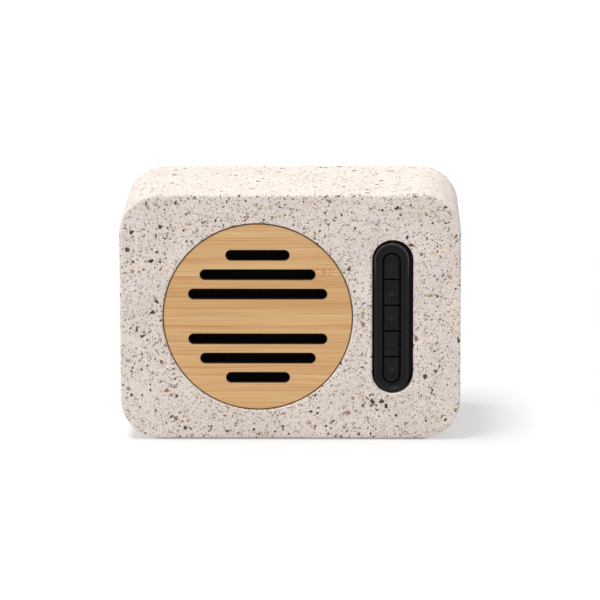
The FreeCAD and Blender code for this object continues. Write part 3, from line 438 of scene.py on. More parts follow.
def knuckle_marks(tree, x, z, wobble):
    """A point's height as the knuckle bends it, and how dark the lines round the knuckle are there."""
    aside = math_node(tree, "SUBTRACT", x, KNUCKLE_X * MM)
    above = math_node(tree, "SUBTRACT", z, (MIDDLE_Z + KNUCKLE_RISE) * MM)
    along = math_node(tree, "DIVIDE", aside, KNUCKLE_STRETCH)
    ratio = math_node(tree, "DIVIDE", distance_of(tree, along, above), KNUCKLE_REACH * MM)
    square = math_node(tree, "MULTIPLY", ratio, ratio)
    near = math_node(tree, "DIVIDE", 1.0, math_node(tree, "ADD", square, 1.0))
    level = ranged(tree, above, -STRIP_HEIGHT * MM, STRIP_HEIGHT * MM, -1.0, 1.0)
    swell = math_node(tree, "MULTIPLY", math_node(tree, "MULTIPLY", near, level), KNUCKLE_SWELL * MM)
    bent = math_node(tree, "SUBTRACT", z, swell)
    wave = ranged(tree, wobble, 0.2, 0.8, -CROSSING_WAVE * MM, CROSSING_WAVE * MM)
    waved = math_node(tree, "ABSOLUTE", math_node(tree, "ADD", aside, wave))
    line = ranged(tree, waved, CROSSING_CORE * MM, CROSSING_EDGE * MM, 0.8, 0.0)
    height = math_node(tree, "ABSOLUTE", above)
    short = ranged(tree, height, CROSSING_FULL * MM, CROSSING_END * MM, 1.0, 0.0)
    crossing = math_node(tree, "MULTIPLY", line, short)
    turns = math_node(tree, "MULTIPLY", bent, math.pi / (VEIN_PITCH * MM))
    turns = math_node(tree, "ADD", turns, ranged(tree, wobble, 0.2, 0.8, -VEIN_WAVE, VEIN_WAVE))
    swing = math_node(tree, "ABSOLUTE", math_node(tree, "SINE", turns))
    vein = ranged(tree, swing, 0.05, 0.4, 1.0, 0.0)
    veins = math_node(tree, "MULTIPLY", vein, ranged(tree, near, 0.22, 0.7, 0.0, 0.8))
    return bent, math_node(tree, "MAXIMUM", crossing, veins)


def fibres(tree, where, x, y, z):
    """The colour of the sawn face and the height of its grain."""
    wobble = noise(tree, where, WOBBLE_SCALE, 2.0).outputs["Fac"]
    bent, dark_lines = knuckle_marks(tree, x, z, wobble)
    strip = math_node(tree, "MULTIPLY", z, 1.0 / (STRIP_HEIGHT * MM))
    number = math_node(tree, "FLOOR", strip)
    across = math_node(tree, "FRACT", strip)
    strip_random = add(tree, "ShaderNodeTexWhiteNoise", {
        "W": math_node(tree, "ADD", number, STRIP_TINT_START),
    }, noise_dimensions="1D")
    along = math_node(tree, "ADD", x, math_node(tree, "MULTIPLY", number, STRIP_SHIFT))
    sway = noise(tree, stretched(tree, where, SWAY_GRAIN), 1.0, 1.0).outputs["Fac"]
    drift = ranged(tree, sway, 0.2, 0.8, -FIBRE_SWAY * MM, FIBRE_SWAY * MM)
    swayed = math_node(tree, "ADD", bent, drift)
    moved = add(tree, "ShaderNodeCombineXYZ", {"X": along, "Y": y, "Z": swayed}).outputs["Vector"]
    fine = noise(tree, stretched(tree, moved, FINE_GRAIN), 1.0, 4.0).outputs["Fac"]
    broad = noise(tree, stretched(tree, moved, BROAD_GRAIN), 1.0, 3.0).outputs["Fac"]
    thread = noise(tree, stretched(tree, moved, THREAD_GRAIN), 1.0, 2.0, 0.65).outputs["Fac"]
    grain = math_node(tree, "ADD", math_node(tree, "MULTIPLY", fine, FINE_SHARE),
                      math_node(tree, "MULTIPLY", broad, BROAD_SHARE))
    grain = math_node(tree, "ADD", grain,
                      ranged(tree, strip_random.outputs["Value"], 0.0, 1.0, -0.04, 0.045))
    tint = ramp(tree, ranged(tree, grain, 0.30, 0.70), BAMBOO_TINTS)
    tint = mixed(tree, ranged(tree, thread, 0.585, 0.64, 0.0, 0.62), tint, FIBRE_BROWN)
    to_edge = math_node(tree, "MINIMUM", across, math_node(tree, "SUBTRACT", 1.0, across))
    tint = mixed(tree, ranged(tree, to_edge, 0.0, GLUE_LINE, 0.42, 0.0), tint, FIBRE_BROWN)
    return mixed(tree, dark_lines, tint, FIBRE_BROWN), grain


print("bamboo: strips of", STRIP_HEIGHT, "mm")

# %% [markdown]
# A laser cuts the slots and the rim, so their walls are burnt dark brown, and a narrow brown halo stays
# on the face beside every cut. The walls are told from the face by the direction they face, so no second
# material is needed. For the halo, the shader works out how far a point lies from the nearest slot.

# %% Burnt edges of the bamboo
GRILLE_RADIUS = 30.5
SLOT_HEIGHT = 3.45
SLOT_LIFT = 0.15
SLOT_FIRST_RISE = 7.385
SLOT_PITCH = 6.37
SLOT_LENGTHS = (44.85, 37.3, 20.62)
HALO_WIDTH = 0.26
RIM_BURN_START, RIM_BURN_END = 0.2, 0.02
SCORCHED = colour(0.030, 0.013, 0.006)


def slot_halo(tree, aside, above):
    """How strongly the face is browned beside the slots, which are alike above and below the middle."""
    level = math_node(tree, "ABSOLUTE", math_node(tree, "SUBTRACT", above, SLOT_LIFT * MM))
    side = math_node(tree, "ABSOLUTE", aside)
    nearest = 1.0
    for number, length in enumerate(SLOT_LENGTHS):
        run = (length - SLOT_HEIGHT) / 2 * MM
        rise = (SLOT_FIRST_RISE + number * SLOT_PITCH) * MM
        beyond = math_node(tree, "MAXIMUM", math_node(tree, "SUBTRACT", side, run), 0.0)
        spot = distance_of(tree, beyond, math_node(tree, "SUBTRACT", level, rise))
        nearest = math_node(tree, "MINIMUM", spot, nearest)
    return ranged(tree, nearest, SLOT_HEIGHT / 2 * MM, (SLOT_HEIGHT / 2 + HALO_WIDTH) * MM, 0.55, 0.0)


def bamboo():
    """Sawn fibres with burnt walls, rim and slots."""
    material, tree, shader, where = finish("bamboo_finish", 0.5)
    place = add(tree, "ShaderNodeSeparateXYZ", {"Vector": where})
    x, y, z = (place.outputs[axis] for axis in "XYZ")
    tint, grain = fibres(tree, where, x, y, z)
    aside = math_node(tree, "SUBTRACT", x, DRIVER_X * MM)
    above = math_node(tree, "SUBTRACT", z, MIDDLE_Z * MM)
    rim = ranged(tree, distance_of(tree, aside, above), (GRILLE_RADIUS - RIM_BURN_START) * MM,
                 (GRILLE_RADIUS - RIM_BURN_END) * MM, 0.0, 0.85)
    facing = add(tree, "ShaderNodeSeparateXYZ", {
        "Vector": add(tree, "ShaderNodeNewGeometry").outputs["Normal"],
    })
    wall = ranged(tree, math_node(tree, "ABSOLUTE", facing.outputs["Y"]), 0.35, 0.65, 1.0, 0.0)
    cut_edges = math_node(tree, "MAXIMUM", rim, wall)
    burnt = math_node(tree, "MAXIMUM", cut_edges, slot_halo(tree, aside, above))
    feed(tree, shader.inputs["Base Color"], mixed(tree, burnt, tint, SCORCHED))
    feed(tree, shader.inputs["Roughness"], ranged(tree, grain, 0.3, 0.7, 0.58, 0.42))
    bumped(tree, shader, grain, FIBRE_RELIEF, 0.6)
    return material


finishes["bamboo"] = bamboo()
print("burnt halo round", 2 * len(SLOT_LENGTHS), "slots")

# %% [markdown]
# Moulded plastic is never one flat black. The mould is spark eroded, which leaves a fine even grain
# that breaks up the gloss. The bezel is satin, the keys are softer and duller. A recipe for each would
# repeat itself, so they share one with different numbers: a slow drift of the tint, a fine grain in the
# height, and an uneven gloss. Rubber, foam, bare metal and lacquered steel take their numbers as well.

# %% Moulded finishes
DRIFT_SCALE = 0.12
DRIFT_SHARE, FINE_TINT_SHARE = 0.6, 0.4
GLOSS_SPREAD = 0.06


def moulded(name, dark, light, grain, depth, roughness, gloss, metallic, edge=0.0):
    """A finish with a slow drift of tint, a fine grain in its height and an uneven gloss."""
    material, tree, shader, where = finish(name + "_finish", roughness, metallic)
    drift = noise(tree, where, grain * DRIFT_SCALE, 3.0).outputs["Fac"]
    fine = noise(tree, where, grain, 3.0).outputs["Fac"]
    blend = math_node(tree, "ADD", math_node(tree, "MULTIPLY", drift, DRIFT_SHARE),
                      math_node(tree, "MULTIPLY", fine, FINE_TINT_SHARE))
    share = ranged(tree, blend, 0.35, 0.65)
    feed(tree, shader.inputs["Base Color"], mixed(tree, share, colour(*dark), colour(*light)))
    feed(tree, shader.inputs["Roughness"],
         ranged(tree, fine, 0.3, 0.7, roughness - GLOSS_SPREAD, roughness + GLOSS_SPREAD))
    shader.inputs["Specular IOR Level"].default_value = gloss
    bumped(tree, shader, fine, depth, 0.5, edge)
    return material


MOULDED_ROWS = (
    # slot, darker tint, lighter tint,
    # grain per metre, grain depth in mm, roughness, gloss, metal, edge in mm
    ("bezel_plastic", (0.004, 0.0042, 0.0046), (0.007, 0.0072, 0.0078),
     3000.0, 0.015, 0.36, 0.16, 0.0, 0.3),
    ("key_rubber", (0.0035, 0.0035, 0.0038), (0.0065, 0.0065, 0.0069),
     3600.0, 0.03, 0.60, 0.155, 0.0, 0.15),
    ("cover_plastic", (0.016, 0.016, 0.017), (0.021, 0.021, 0.022), 2400.0, 0.05, 0.58, 0.25, 0.0, 0.3),
    # the marks are key rubber: the lower roughness is their own, and the lighter tint is a painted
    # highlight on their raised tops
    ("key_mark_highlight", (0.009, 0.009, 0.010), (0.013, 0.013, 0.014), 3600.0, 0.01, 0.45, 0.20, 0.0),
    ("foot_rubber", (0.012, 0.012, 0.012), (0.022, 0.022, 0.022), 2200.0, 0.04, 0.80, 0.25, 0.0),
    ("black_plastic", (0.004, 0.004, 0.0045), (0.009, 0.009, 0.010), 1800.0, 0.04, 0.60, 0.35, 0.0),
    ("foam", (0.020, 0.020, 0.022), (0.060, 0.060, 0.064), 2600.0, 0.12, 0.93, 0.15, 0.0),
    ("surround_rubber", (0.008, 0.008, 0.009), (0.016, 0.016, 0.017), 1600.0, 0.02, 0.50, 0.40, 0.0),
    ("cap_paper", (0.010, 0.010, 0.011), (0.022, 0.022, 0.024), 1400.0, 0.03, 0.70, 0.30, 0.0),
    ("terminal_board", (0.085, 0.040, 0.018), (0.150, 0.075, 0.035), 1100.0, 0.02, 0.62, 0.40, 0.0),
    ("switch_plastic", (0.012, 0.012, 0.013), (0.024, 0.024, 0.026), 2400.0, 0.02, 0.50, 0.40, 0.0),
    ("plunger_plastic", (0.520, 0.500, 0.460), (0.640, 0.620, 0.580), 2400.0, 0.02, 0.48, 0.45, 0.0),
    ("lamp_plastic", (0.700, 0.690, 0.640), (0.820, 0.810, 0.770), 2000.0, 0.01, 0.35, 0.50, 0.0),
    ("chip_plastic", (0.010, 0.010, 0.010), (0.020, 0.020, 0.021), 3000.0, 0.02, 0.60, 0.40, 0.0),
    ("plug_plastic", (0.560, 0.500, 0.390), (0.700, 0.640, 0.530), 1800.0, 0.02, 0.50, 0.45, 0.0),
    ("lead_sleeve", (0.012, 0.012, 0.013), (0.026, 0.026, 0.028), 2000.0, 0.02, 0.52, 0.40, 0.0),
    ("driver_steel", (0.014, 0.014, 0.015), (0.030, 0.030, 0.032), 1500.0, 0.02, 0.42, 0.45, 0.0),
    ("yoke_steel", (0.420, 0.420, 0.410), (0.600, 0.600, 0.590), 900.0, 0.01, 0.38, 0.50, 1.0),
    ("magnet_plating", (0.560, 0.550, 0.520), (0.680, 0.670, 0.640), 1200.0, 0.01, 0.26, 0.50, 1.0),
    ("dark_screw", (0.030, 0.030, 0.032), (0.075, 0.075, 0.078), 2600.0, 0.01, 0.40, 0.50, 0.9),
    ("plain_screw", (0.480, 0.480, 0.470), (0.640, 0.640, 0.630), 2600.0, 0.01, 0.32, 0.50, 1.0),
    ("socket_steel", (0.500, 0.500, 0.490), (0.640, 0.640, 0.630), 2200.0, 0.01, 0.30, 0.50, 1.0),
    ("shield_metal", (0.440, 0.440, 0.430), (0.580, 0.580, 0.570), 1300.0, 0.01, 0.34, 0.50, 1.0),
    ("former_foil", (0.580, 0.590, 0.600), (0.740, 0.750, 0.760), 1600.0, 0.01, 0.28, 0.50, 1.0),
    ("battery_pouch", (0.330, 0.335, 0.345), (0.480, 0.485, 0.495), 700.0, 0.05, 0.36, 0.50, 0.8),
)
for slot_name, *numbers in MOULDED_ROWS:
    finishes[slot_name] = moulded(slot_name, *numbers)
print("moulded and metal finishes:", len(MOULDED_ROWS))

# %% [markdown]
# The crest of the raised rim round the keys carries a thin paler line, strongest at its upper end, beside
# the power key. It is a painted highlight: it stands in for light glinting on the crest, which lies in
# the shade of the hole's edge here. An edge could be found from the mesh, but that would mark the key
# window as well. The rim is an obround, so the shader works out how far a point lies from its line
# instead.

# %% Painted highlight on the bezel's rim
FLANGE_REACH = 2.7
RIM_INSET = 0.18
# the paler tint of the painted highlight on the rim's crest, and how much of it stays at the lower end
RIM_HIGHLIGHT_TINT = colour(0.084, 0.086, 0.094)
RIM_CORE, RIM_EDGE = 0.1, 0.3
RIM_HIGHLIGHT_LOW = 0.12
# shares of the half height between which the painted highlight grows
HIGHLIGHT_START, HIGHLIGHT_FULL = 0.4, 0.85


def paint_rim_highlight(material):
    """A painted highlight: a paler line along the crest of the bezel's rim, most at the upper end, beside
    the power key.
    """
    tree = material.node_tree
    base = tree.nodes["Principled BSDF"].inputs["Base Color"]
    place = add(tree, "ShaderNodeSeparateXYZ", {
        "Vector": add(tree, "ShaderNodeTexCoord").outputs["Object"],
    })
    low, high = (Vector(corner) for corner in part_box("key_bezel"))
    middle, halves = (low + high) / 2, (high - low) / 2
    crest = halves.x - (FLANGE_REACH + RIM_INSET) * MM
    side = math_node(tree, "SUBTRACT", place.outputs["X"], middle.x)
    level = math_node(tree, "ABSOLUTE", math_node(tree, "SUBTRACT", place.outputs["Z"], middle.z))
    beyond = math_node(tree, "MAXIMUM", math_node(tree, "SUBTRACT", level, halves.z - halves.x), 0.0)
    away = math_node(tree, "SUBTRACT", distance_of(tree, side, beyond), crest)
    line = ranged(tree, math_node(tree, "ABSOLUTE", away), RIM_CORE * MM, RIM_EDGE * MM, 1.0, 0.0)
    # the painted highlight is strongest at the upper end of the rim and fades towards the lower end
    highlight_fade = ranged(tree, place.outputs["Z"], middle.z + HIGHLIGHT_START * halves.z,
                  middle.z + HIGHLIGHT_FULL * halves.z, RIM_HIGHLIGHT_LOW, 1.0)
    share = math_node(tree, "MULTIPLY", line, highlight_fade)
    feed(tree, base, mixed(tree, share, base.links[0].from_socket, RIM_HIGHLIGHT_TINT))


# the paler line along the rim's crest is a painted highlight
paint_rim_highlight(finishes["bezel_plastic"])
print("painted rim highlight of the bezel ready")

# %% [markdown]
# A few inner parts have a pattern of their own. Paper and cloth have fibres, a coil has turns of wire,
# a circuit board has a green mask over copper tracks, a ribbon has stripes, a can has a darker band and
# a light pipe lets light through. They sit behind the grille or the rear cover, but a part that is
# opened up or cut through still has to look right, so each gets a small recipe.

# %% Finishes with a pattern
PULP_SCALE = 900.0
HAIR_GRAIN = (2600.0, 300.0, 700.0)
FUZZ_SCALE = 5000.0
BAND_SPECK = 1800.0
MASK_SCALE = 700.0
MASK_DARK = colour(0.006, 0.055, 0.026)
MASK_LIGHT = colour(0.011, 0.085, 0.040)
TRACK_GREEN = colour(0.030, 0.150, 0.060)
HAZE_SCALE = 600.0
PIPE_CLEARNESS = 0.35
PIPE_BENDING = 1.49


def paper():
    """Pressed pulp with short hairs in it."""
    material, tree, shader, where = finish("cone_paper_finish", 0.86)
    pulp = noise(tree, where, PULP_SCALE, 5.0, 0.7).outputs["Fac"]
    hairs = noise(tree, stretched(tree, where, HAIR_GRAIN), 1.0, 4.0).outputs["Fac"]
    share = math_node(tree, "MULTIPLY", pulp, hairs)
    tint = mixed(tree, ranged(tree, share, 0.12, 0.42),
                 colour(0.012, 0.012, 0.012), colour(0.050, 0.049, 0.047))
    feed(tree, shader.inputs["Base Color"], tint)
    bumped(tree, shader, share, 0.08, 0.7)
    return material


def woven(name, dark, light, pitch, roughness):
    """Threads over and under along X and Z."""
    material, tree, shader, where = finish(name + "_finish", roughness)
    turns = 2.0 * math.pi / (pitch * MM)
    place = add(tree, "ShaderNodeSeparateXYZ", {"Vector": where})
    warp = math_node(tree, "SINE", math_node(tree, "MULTIPLY", place.outputs["X"], turns))
    weft = math_node(tree, "SINE", math_node(tree, "MULTIPLY", place.outputs["Z"], turns))
    weave = ranged(tree, math_node(tree, "MULTIPLY", warp, weft), -1.0, 1.0)
    fuzz = noise(tree, where, FUZZ_SCALE, 2.0).outputs["Fac"]
    share = math_node(tree, "MULTIPLY", weave, ranged(tree, fuzz, 0.3, 0.7, 0.6, 1.0))
    feed(tree, shader.inputs["Base Color"], mixed(tree, share, colour(*dark), colour(*light)))
    shader.inputs["Specular IOR Level"].default_value = 0.1
    bumped(tree, shader, weave, 0.06, 0.8)
    return material


def banded(name, axis, pitch, dark, light, roughness, metallic):
    """Even bands along one axis, as turns of wire or the conductors of a ribbon."""
    material, tree, shader, where = finish(name + "_finish", roughness, metallic)
    place = add(tree, "ShaderNodeSeparateXYZ", {"Vector": where})
    turns = math_node(tree, "MULTIPLY", place.outputs[axis], 2.0 * math.pi / (pitch * MM))
    band = ranged(tree, math_node(tree, "SINE", turns), -1.0, 1.0)
    fine = noise(tree, where, BAND_SPECK).outputs["Fac"]
    share = math_node(tree, "MULTIPLY", band, ranged(tree, fine, 0.3, 0.7, 0.75, 1.0))
    feed(tree, shader.inputs["Base Color"], mixed(tree, share, colour(*dark), colour(*light)))
    bumped(tree, shader, band, 0.05, 0.7)
    return material


def circuit_board():
    """A green mask that stands a little proud, and is paler, over its tracks."""
    material, tree, shader, where = finish("circuit_board_finish", 0.36)
    tracks = add(tree, "ShaderNodeTexBrick", {
        "Vector": where, "Scale": 420.0, "Mortar Size": 0.035, "Mortar Smooth": 0.1, "Bias": 0.0,
        "Brick Width": 0.9, "Row Height": 0.32,
    })
    mask = noise(tree, where, MASK_SCALE).outputs["Fac"]
    ground = mixed(tree, mask, MASK_DARK, MASK_LIGHT)
    feed(tree, shader.inputs["Base Color"], mixed(tree, tracks.outputs["Fac"], ground, TRACK_GREEN))
    bumped(tree, shader, tracks.outputs["Fac"], 0.03, 0.5)
    return material


def light_pipe():
    """Clear plastic with a slight haze."""
    material, tree, shader, where = finish("pipe_plastic_finish", 0.22)
    haze = noise(tree, where, HAZE_SCALE).outputs["Fac"]
    feed(tree, shader.inputs["Base Color"],
         mixed(tree, haze, colour(0.78, 0.79, 0.78), colour(0.88, 0.89, 0.88)))
    shader.inputs["Transmission Weight"].default_value = PIPE_CLEARNESS
    shader.inputs["IOR"].default_value = PIPE_BENDING
    bumped(tree, shader, haze, 0.01, 0.3)
    return material


WOVEN_ROWS = (
    # slot, darker tint, lighter tint, pitch in mm, roughness
    ("black_cloth", (0.0004, 0.0004, 0.0004), (0.003, 0.003, 0.003), 1.0, 0.95),
    ("spider_cloth", (0.20, 0.095, 0.030), (0.42, 0.23, 0.085), 0.9, 0.8),
)
BANDED_ROWS = (
    # slot, axis, pitch in mm, darker tint, lighter tint, roughness, metal
    ("copper_wire", "Y", 0.2, (0.30, 0.10, 0.045), (0.72, 0.33, 0.17), 0.32, 1.0),
    ("ribbon_film", "Z", 0.8, (0.36, 0.35, 0.33), (0.62, 0.61, 0.58), 0.45, 0.0),
    ("capacitor_can", "Z", 3.1, (0.30, 0.31, 0.33), (0.62, 0.63, 0.65), 0.34, 0.9),
)
finishes["cone_paper"] = paper()
for slot_name, *numbers in WOVEN_ROWS:
    finishes[slot_name] = woven(slot_name, *numbers)
for slot_name, *numbers in BANDED_ROWS:
    finishes[slot_name] = banded(slot_name, *numbers)
finishes["circuit_board"] = circuit_board()
finishes["pipe_plastic"] = light_pipe()
print("finishes in all:", len(finishes))

# %% [markdown]
# Every solid of the frame came in with a plain slot of the right name. Swapping the material in that
# slot dresses the solid without touching its mesh. A loop over all nodes is safer than a list by
# hand, because a node that has no finish stops the script here.

# %% Dress the solids
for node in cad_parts.values():
    for holder in node.material_slots:
        holder.material = finishes[holder.material.name]
print("dressed", len(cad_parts), "nodes")

# %% [markdown]
# New pieces all go through the same steps: a mesh becomes an object, takes a finish picked by a slot name
# or by a look of its own, and, where a body is given, rides on it. One helper does that, so no step is
# forgotten.

# %% Helper for new pieces
SMOOTH_ANGLE = math.radians(30.0)


def piece(name, shape, slot_name, body=None, look=None):
    """Turns a mesh under construction into an object of the model."""
    bmesh.ops.recalc_face_normals(shape, faces=shape.faces)
    mesh = bpy.data.meshes.new(name)
    shape.to_mesh(mesh)
    shape.free()
    mesh.polygons.foreach_set("use_smooth", [True] * len(mesh.polygons))
    mesh.set_sharp_from_angle(angle=SMOOTH_ANGLE)
    mesh.materials.append(finishes[look or slot_name])
    made = bpy.data.objects.new(name, mesh)
    scene.collection.objects.link(made)
    if body:
        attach(made, body)
    return made


print("helper for new pieces ready")

# %% [markdown]
# Acoustic cloth is stretched behind the slots, so that only black shows between the bamboo bars. A
# flat disc would do from the front, but close up the real thing is a weave. Here a fine grid is
# pushed up and down like a checkerboard, and the rim is pulled onto a circle.

# %% Grille cloth
CLOTH_RADIUS = 30.0
CLOTH_LEVEL = -23.5
THREAD = 0.5
WEAVE_DEPTH = 0.05

reach = int(CLOTH_RADIUS / THREAD) + 1
cloth_shape = bmesh.new()
knots = {}
for column in range(-reach, reach + 1):
    for row in range(-reach, reach + 1):
        x, z = column * THREAD, row * THREAD
        if math.hypot(x, z) <= CLOTH_RADIUS:
            lift = WEAVE_DEPTH if (column + row) % 2 else -WEAVE_DEPTH
            spot = Vector((DRIVER_X + x, CLOTH_LEVEL + lift, MIDDLE_Z + z)) * MM
            knots[column, row] = cloth_shape.verts.new(spot)
for column, row in knots:
    corners = [(column, row), (column + 1, row), (column + 1, row + 1), (column, row + 1)]
    if all(corner in knots for corner in corners):
        cloth_shape.faces.new([knots[corner] for corner in corners])
loose = [knot for knot in cloth_shape.verts if not knot.link_faces]
bmesh.ops.delete(cloth_shape, geom=loose, context="VERTS")
for knot in cloth_shape.verts:
    if knot.is_boundary:
        flat = Vector((knot.co.x - DRIVER_X * MM, 0.0, knot.co.z - MIDDLE_Z * MM))
        flat *= CLOTH_RADIUS * MM / flat.length
        knot.co = Vector((DRIVER_X, CLOTH_LEVEL, MIDDLE_Z)) * MM + flat
cloth = piece("grille_cloth_weave", cloth_shape, "black_cloth", "speaker")
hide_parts("grille_cloth")
print("cloth:", len(cloth.data.polygons), "quads")

# %% [markdown]
# The half-roll rubber edge and the springy disc behind the cone both bend while the cone moves. Each is a
# thin skin turned round the driver's axis. A line is drawn through a few points, smoothed, given its
# thickness and spun.

# %% Surround and spider
SPIN_STEPS = 96
CURVE_STEPS = 4
SURROUND_SKIN = 0.45
SPIDER_SKIN = 0.36
# each point is a radius and a level along the driver's axis, from the rim to the bore
SURROUND_LINE = (
    (23.1, -18.65), (22.2, -18.65), (21.6, -18.95), (21.1, -19.8), (20.6, -20.45), (19.9, -20.65),
    (19.25, -20.4), (18.8, -19.6), (18.4, -18.3), (18.1, -17.1), (17.8, -16.4), (17.3, -16.05),
    (16.6, -16.05),
)
SPIDER_LINE = (
    (16.0, -7.6), (14.2, -7.6), (13.2, -7.7), (12.6, -8.15), (12.0, -8.75), (11.5, -9.25),
    (10.9, -9.65), (10.0, -9.7), (7.05, -9.7),
)


def smoothed(points):
    """A smooth line through points, each a radius and a level."""
    line = []
    ends = [points[0]] + list(points) + [points[-1]]
    for first, second, third, fourth in zip(ends, ends[1:], ends[2:], ends[3:]):
        for step in range(CURVE_STEPS):
            t = step / CURVE_STEPS
            line.append(Vector([
                0.5 * (2 * b + (c - a) * t + (2 * a - 5 * b + 4 * c - d) * t * t
                       + (3 * b - a - 3 * c + d) * t * t * t)
                for a, b, c, d in zip(first, second, third, fourth)
            ]))
    line.append(Vector(points[-1]))
    return line


def turned_skin(points, thickness):
    """A closed skin turned round the driver's axis."""
    line = smoothed(points)
    outer, inner = [], []
    for index, spot in enumerate(line):
        along = line[min(index + 1, len(line) - 1)] - line[max(index - 1, 0)]
        side = Vector((-along.y, along.x)).normalized() * thickness / 2
        outer.append(spot + side)
        inner.append(spot - side)
    loop = outer + inner[::-1]
    shape = bmesh.new()
    rings = []
    for step in range(SPIN_STEPS):
        angle = 2.0 * math.pi * step / SPIN_STEPS
        across, up = math.cos(angle), math.sin(angle)
        rings.append([
            shape.verts.new(Vector((DRIVER_X + r * across, y, MIDDLE_Z + r * up)) * MM)
            for r, y in loop
        ])
    for ring, following in zip(rings, rings[1:] + rings[:1]):
        for index in range(len(loop)):
            after = (index + 1) % len(loop)
            shape.faces.new((ring[index], ring[after], following[after], following[index]))
    return shape


surround = piece("surround_roll", turned_skin(SURROUND_LINE, SURROUND_SKIN), "surround_rubber")
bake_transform(surround)
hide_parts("surround")
spider = piece("spider_disc", turned_skin(SPIDER_LINE, SPIDER_SKIN), "spider_cloth")
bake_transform(spider)
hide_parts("spider")
print("surround:", len(surround.data.polygons), "quads, spider:", len(spider.data.polygons), "quads")

# %% [markdown]
# Each key carries a small raised mark: power, a triangle up, plus, minus and a triangle down. They could
# be painted by the material, but a raised mark catches light along its edges, as the moulded ones do.
# Each is a flat outline, pushed out by a fraction of a millimetre and bevelled at the front. Its finish
# is a lighter, glossier copy of the key rubber. The gloss belongs to the moulded mark itself, and the
# lighter tint is a painted highlight on its top.

# %% Marks on the keys
KEY_FACE = -26.0
MARK_SINK = 0.05
MARK_RISE = 0.2
MARK_BEVEL = 0.06


def bar(width, height, z=0.0):
    """A level or upright bar, with its middle at a height z."""
    return [(-width / 2, z - height / 2), (width / 2, z - height / 2),
            (width / 2, z + height / 2), (-width / 2, z + height / 2)]


def cross(reach_out, half):
    """A plus with arms of one reach and half width."""
    return [(-half, -reach_out), (half, -reach_out), (half, -half), (reach_out, -half), (reach_out, half),
            (half, half), (half, reach_out), (-half, reach_out), (-half, half), (-reach_out, half),
            (-reach_out, -half), (-half, -half)]


def open_ring(radius, width, gap_degrees, steps=28):
    """A ring that is open at the top."""
    start = math.radians(90.0 + gap_degrees / 2)
    sweep_angle = math.radians(360.0 - gap_degrees)
    turns = [start + sweep_angle * step / steps for step in range(steps + 1)]
    far, near = radius + width / 2, radius - width / 2
    outside = [(far * math.cos(a), far * math.sin(a)) for a in turns]
    inside = [(near * math.cos(a), near * math.sin(a)) for a in turns]
    return outside + inside[::-1]


def raised_mark(key, outlines):
    """A key's mark, sunk a little into the key so that no gap shows, and riding on its button."""
    key_x, _, key_z = centre(key + "_plunger")
    shape = bmesh.new()
    for outline in outlines:
        corners = [shape.verts.new(Vector((key_x + x, KEY_FACE + MARK_SINK, key_z + z)) * MM)
                   for x, z in outline]
        base = shape.faces.new(corners)
        pushed = bmesh.ops.extrude_face_region(shape, geom=[base], use_keep_orig=True)["geom"]
        lifted = [part for part in pushed if isinstance(part, bmesh.types.BMVert)]
        bmesh.ops.translate(shape, verts=lifted, vec=(0.0, -(MARK_SINK + MARK_RISE) * MM, 0.0))
        rim = [part for part in pushed if isinstance(part, bmesh.types.BMEdge)]
        bmesh.ops.bevel(shape, geom=rim, offset=MARK_BEVEL * MM, segments=2, affect="EDGES", profile=0.5)
    # the mark is key rubber with a lighter tint, which is a painted highlight on its top
    return piece(key + "_mark", shape, "key_rubber", key + "_button", "key_mark_highlight")


TRIANGLE_UP = [(-1.35, -0.95), (1.35, -0.95), (0.0, 1.05)]
TRIANGLE_DOWN = [(-1.35, 0.95), (0.0, -1.05), (1.35, 0.95)]
POWER_SIGN = [open_ring(1.35, 0.42, 76.0), bar(0.42, 1.7, 0.75)]
KEY_MARKS = {
    "power": POWER_SIGN, "next": [TRIANGLE_UP], "volume_up": [cross(1.45, 0.24)],
    "volume_down": [bar(2.9, 0.48)], "previous": [TRIANGLE_DOWN],
}
for key, outlines in KEY_MARKS.items():
    raised_mark(key, outlines)
print("key marks:", len(KEY_MARKS))

# %% [markdown]
# Four screws hold the rear cover. The solids show a plain head, and the real one has a domed rim and a
# cross recess for the driver. The head is turned from a short profile. The recess is cut by a tapered
# cross with a Boolean modifier, whose result is then stored in the mesh.

# %% Rear cover screws
SCREW_FACE = 26.6
HEAD_RADIUS = 2.3
SHANK_RADIUS = 1.1
# each point is a radius and a level, from the crown of the head to the tip
SCREW_PROFILE = (
    (0.0, SCREW_FACE), (1.75, SCREW_FACE), (2.1, 26.5), (2.27, 26.25), (HEAD_RADIUS, 25.9),
    (HEAD_RADIUS, 25.0), (SHANK_RADIUS, 25.0), (SHANK_RADIUS, 18.7), (0.7, 18.2), (0.0, 18.2),
)
SCREW_STEPS = 40
# half width of the recess's arms, their reach and their level, at the bottom and above the mouth
RECESS_LEVELS = ((0.24, 0.75, SCREW_FACE - 1.1), (0.36, 1.4, SCREW_FACE + 0.3))
FIRST_TURN, NEXT_TURN = 12.0, 31.0
first_corner, last_corner = (Vector(corner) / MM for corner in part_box("rear_cover_screws"))
SCREW_SPOTS = [
    (x, z)
    for x in (first_corner.x + HEAD_RADIUS, last_corner.x - HEAD_RADIUS)
    for z in (first_corner.z + HEAD_RADIUS, last_corner.z - HEAD_RADIUS)
]


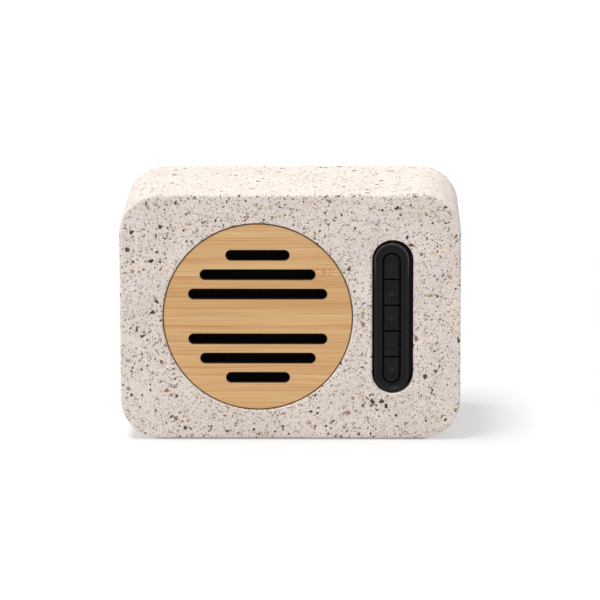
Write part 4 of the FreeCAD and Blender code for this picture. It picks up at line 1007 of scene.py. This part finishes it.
def turned_screw(shape, x, z):
    """One closed screw, turned round an axis along Y."""
    tip = shape.verts.new(Vector((x, SCREW_PROFILE[-1][1], z)) * MM)
    crown = shape.verts.new(Vector((x, SCREW_PROFILE[0][1], z)) * MM)
    rings = []
    for r, y in SCREW_PROFILE[1:-1]:
        rings.append([
            shape.verts.new(Vector((x + r * math.cos(a), y, z + r * math.sin(a))) * MM)
            for a in (2.0 * math.pi * step / SCREW_STEPS for step in range(SCREW_STEPS))
        ])
    for step in range(SCREW_STEPS):
        after = (step + 1) % SCREW_STEPS
        shape.faces.new((crown, rings[0][step], rings[0][after]))
        shape.faces.new((tip, rings[-1][after], rings[-1][step]))
        for ring, following in zip(rings, rings[1:]):
            shape.faces.new((ring[step], following[step], following[after], ring[after]))


def recess_cutter(shape, x, z, turn_angle):
    """A cross that narrows towards its bottom."""
    levels = []
    for half, reach_out, y in RECESS_LEVELS:
        level_ring = []
        for a, b in cross(reach_out, half):
            turned_a = a * math.cos(turn_angle) - b * math.sin(turn_angle)
            turned_b = a * math.sin(turn_angle) + b * math.cos(turn_angle)
            level_ring.append(shape.verts.new(Vector((x + turned_a, y, z + turned_b)) * MM))
        levels.append(level_ring)
    low, high = levels
    shape.faces.new(low)
    shape.faces.new(high[::-1])
    for index in range(len(low)):
        after = (index + 1) % len(low)
        shape.faces.new((low[index], high[index], high[after], low[after]))


screw_shape, cutter_shape = bmesh.new(), bmesh.new()
for number, (x, z) in enumerate(SCREW_SPOTS):
    turned_screw(screw_shape, x, z)
    recess_cutter(cutter_shape, x, z, math.radians(FIRST_TURN + NEXT_TURN * number))
screws = piece("rear_cover_screw_set", screw_shape, "dark_screw", "speaker")
bmesh.ops.recalc_face_normals(cutter_shape, faces=cutter_shape.faces)
cutter_mesh = bpy.data.meshes.new("recess_cutter")
cutter_shape.to_mesh(cutter_mesh)
cutter_shape.free()
cutter = bpy.data.objects.new("recess_cutter", cutter_mesh)
scene.collection.objects.link(cutter)
recess = screws.modifiers.new("recess", "BOOLEAN")
recess.operation = "DIFFERENCE"
recess.solver = "EXACT"
recess.object = cutter
bpy.context.view_layer.update()
cut_screws = screws.evaluated_get(bpy.context.evaluated_depsgraph_get())
cut_mesh = bpy.data.meshes.new_from_object(cut_screws)
screws.modifiers.remove(recess)
screws.data = cut_mesh
bpy.data.objects.remove(cutter)
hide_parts("rear_cover_screws")
print("screws:", len(SCREW_SPOTS), "with", len(screws.data.polygons), "faces")
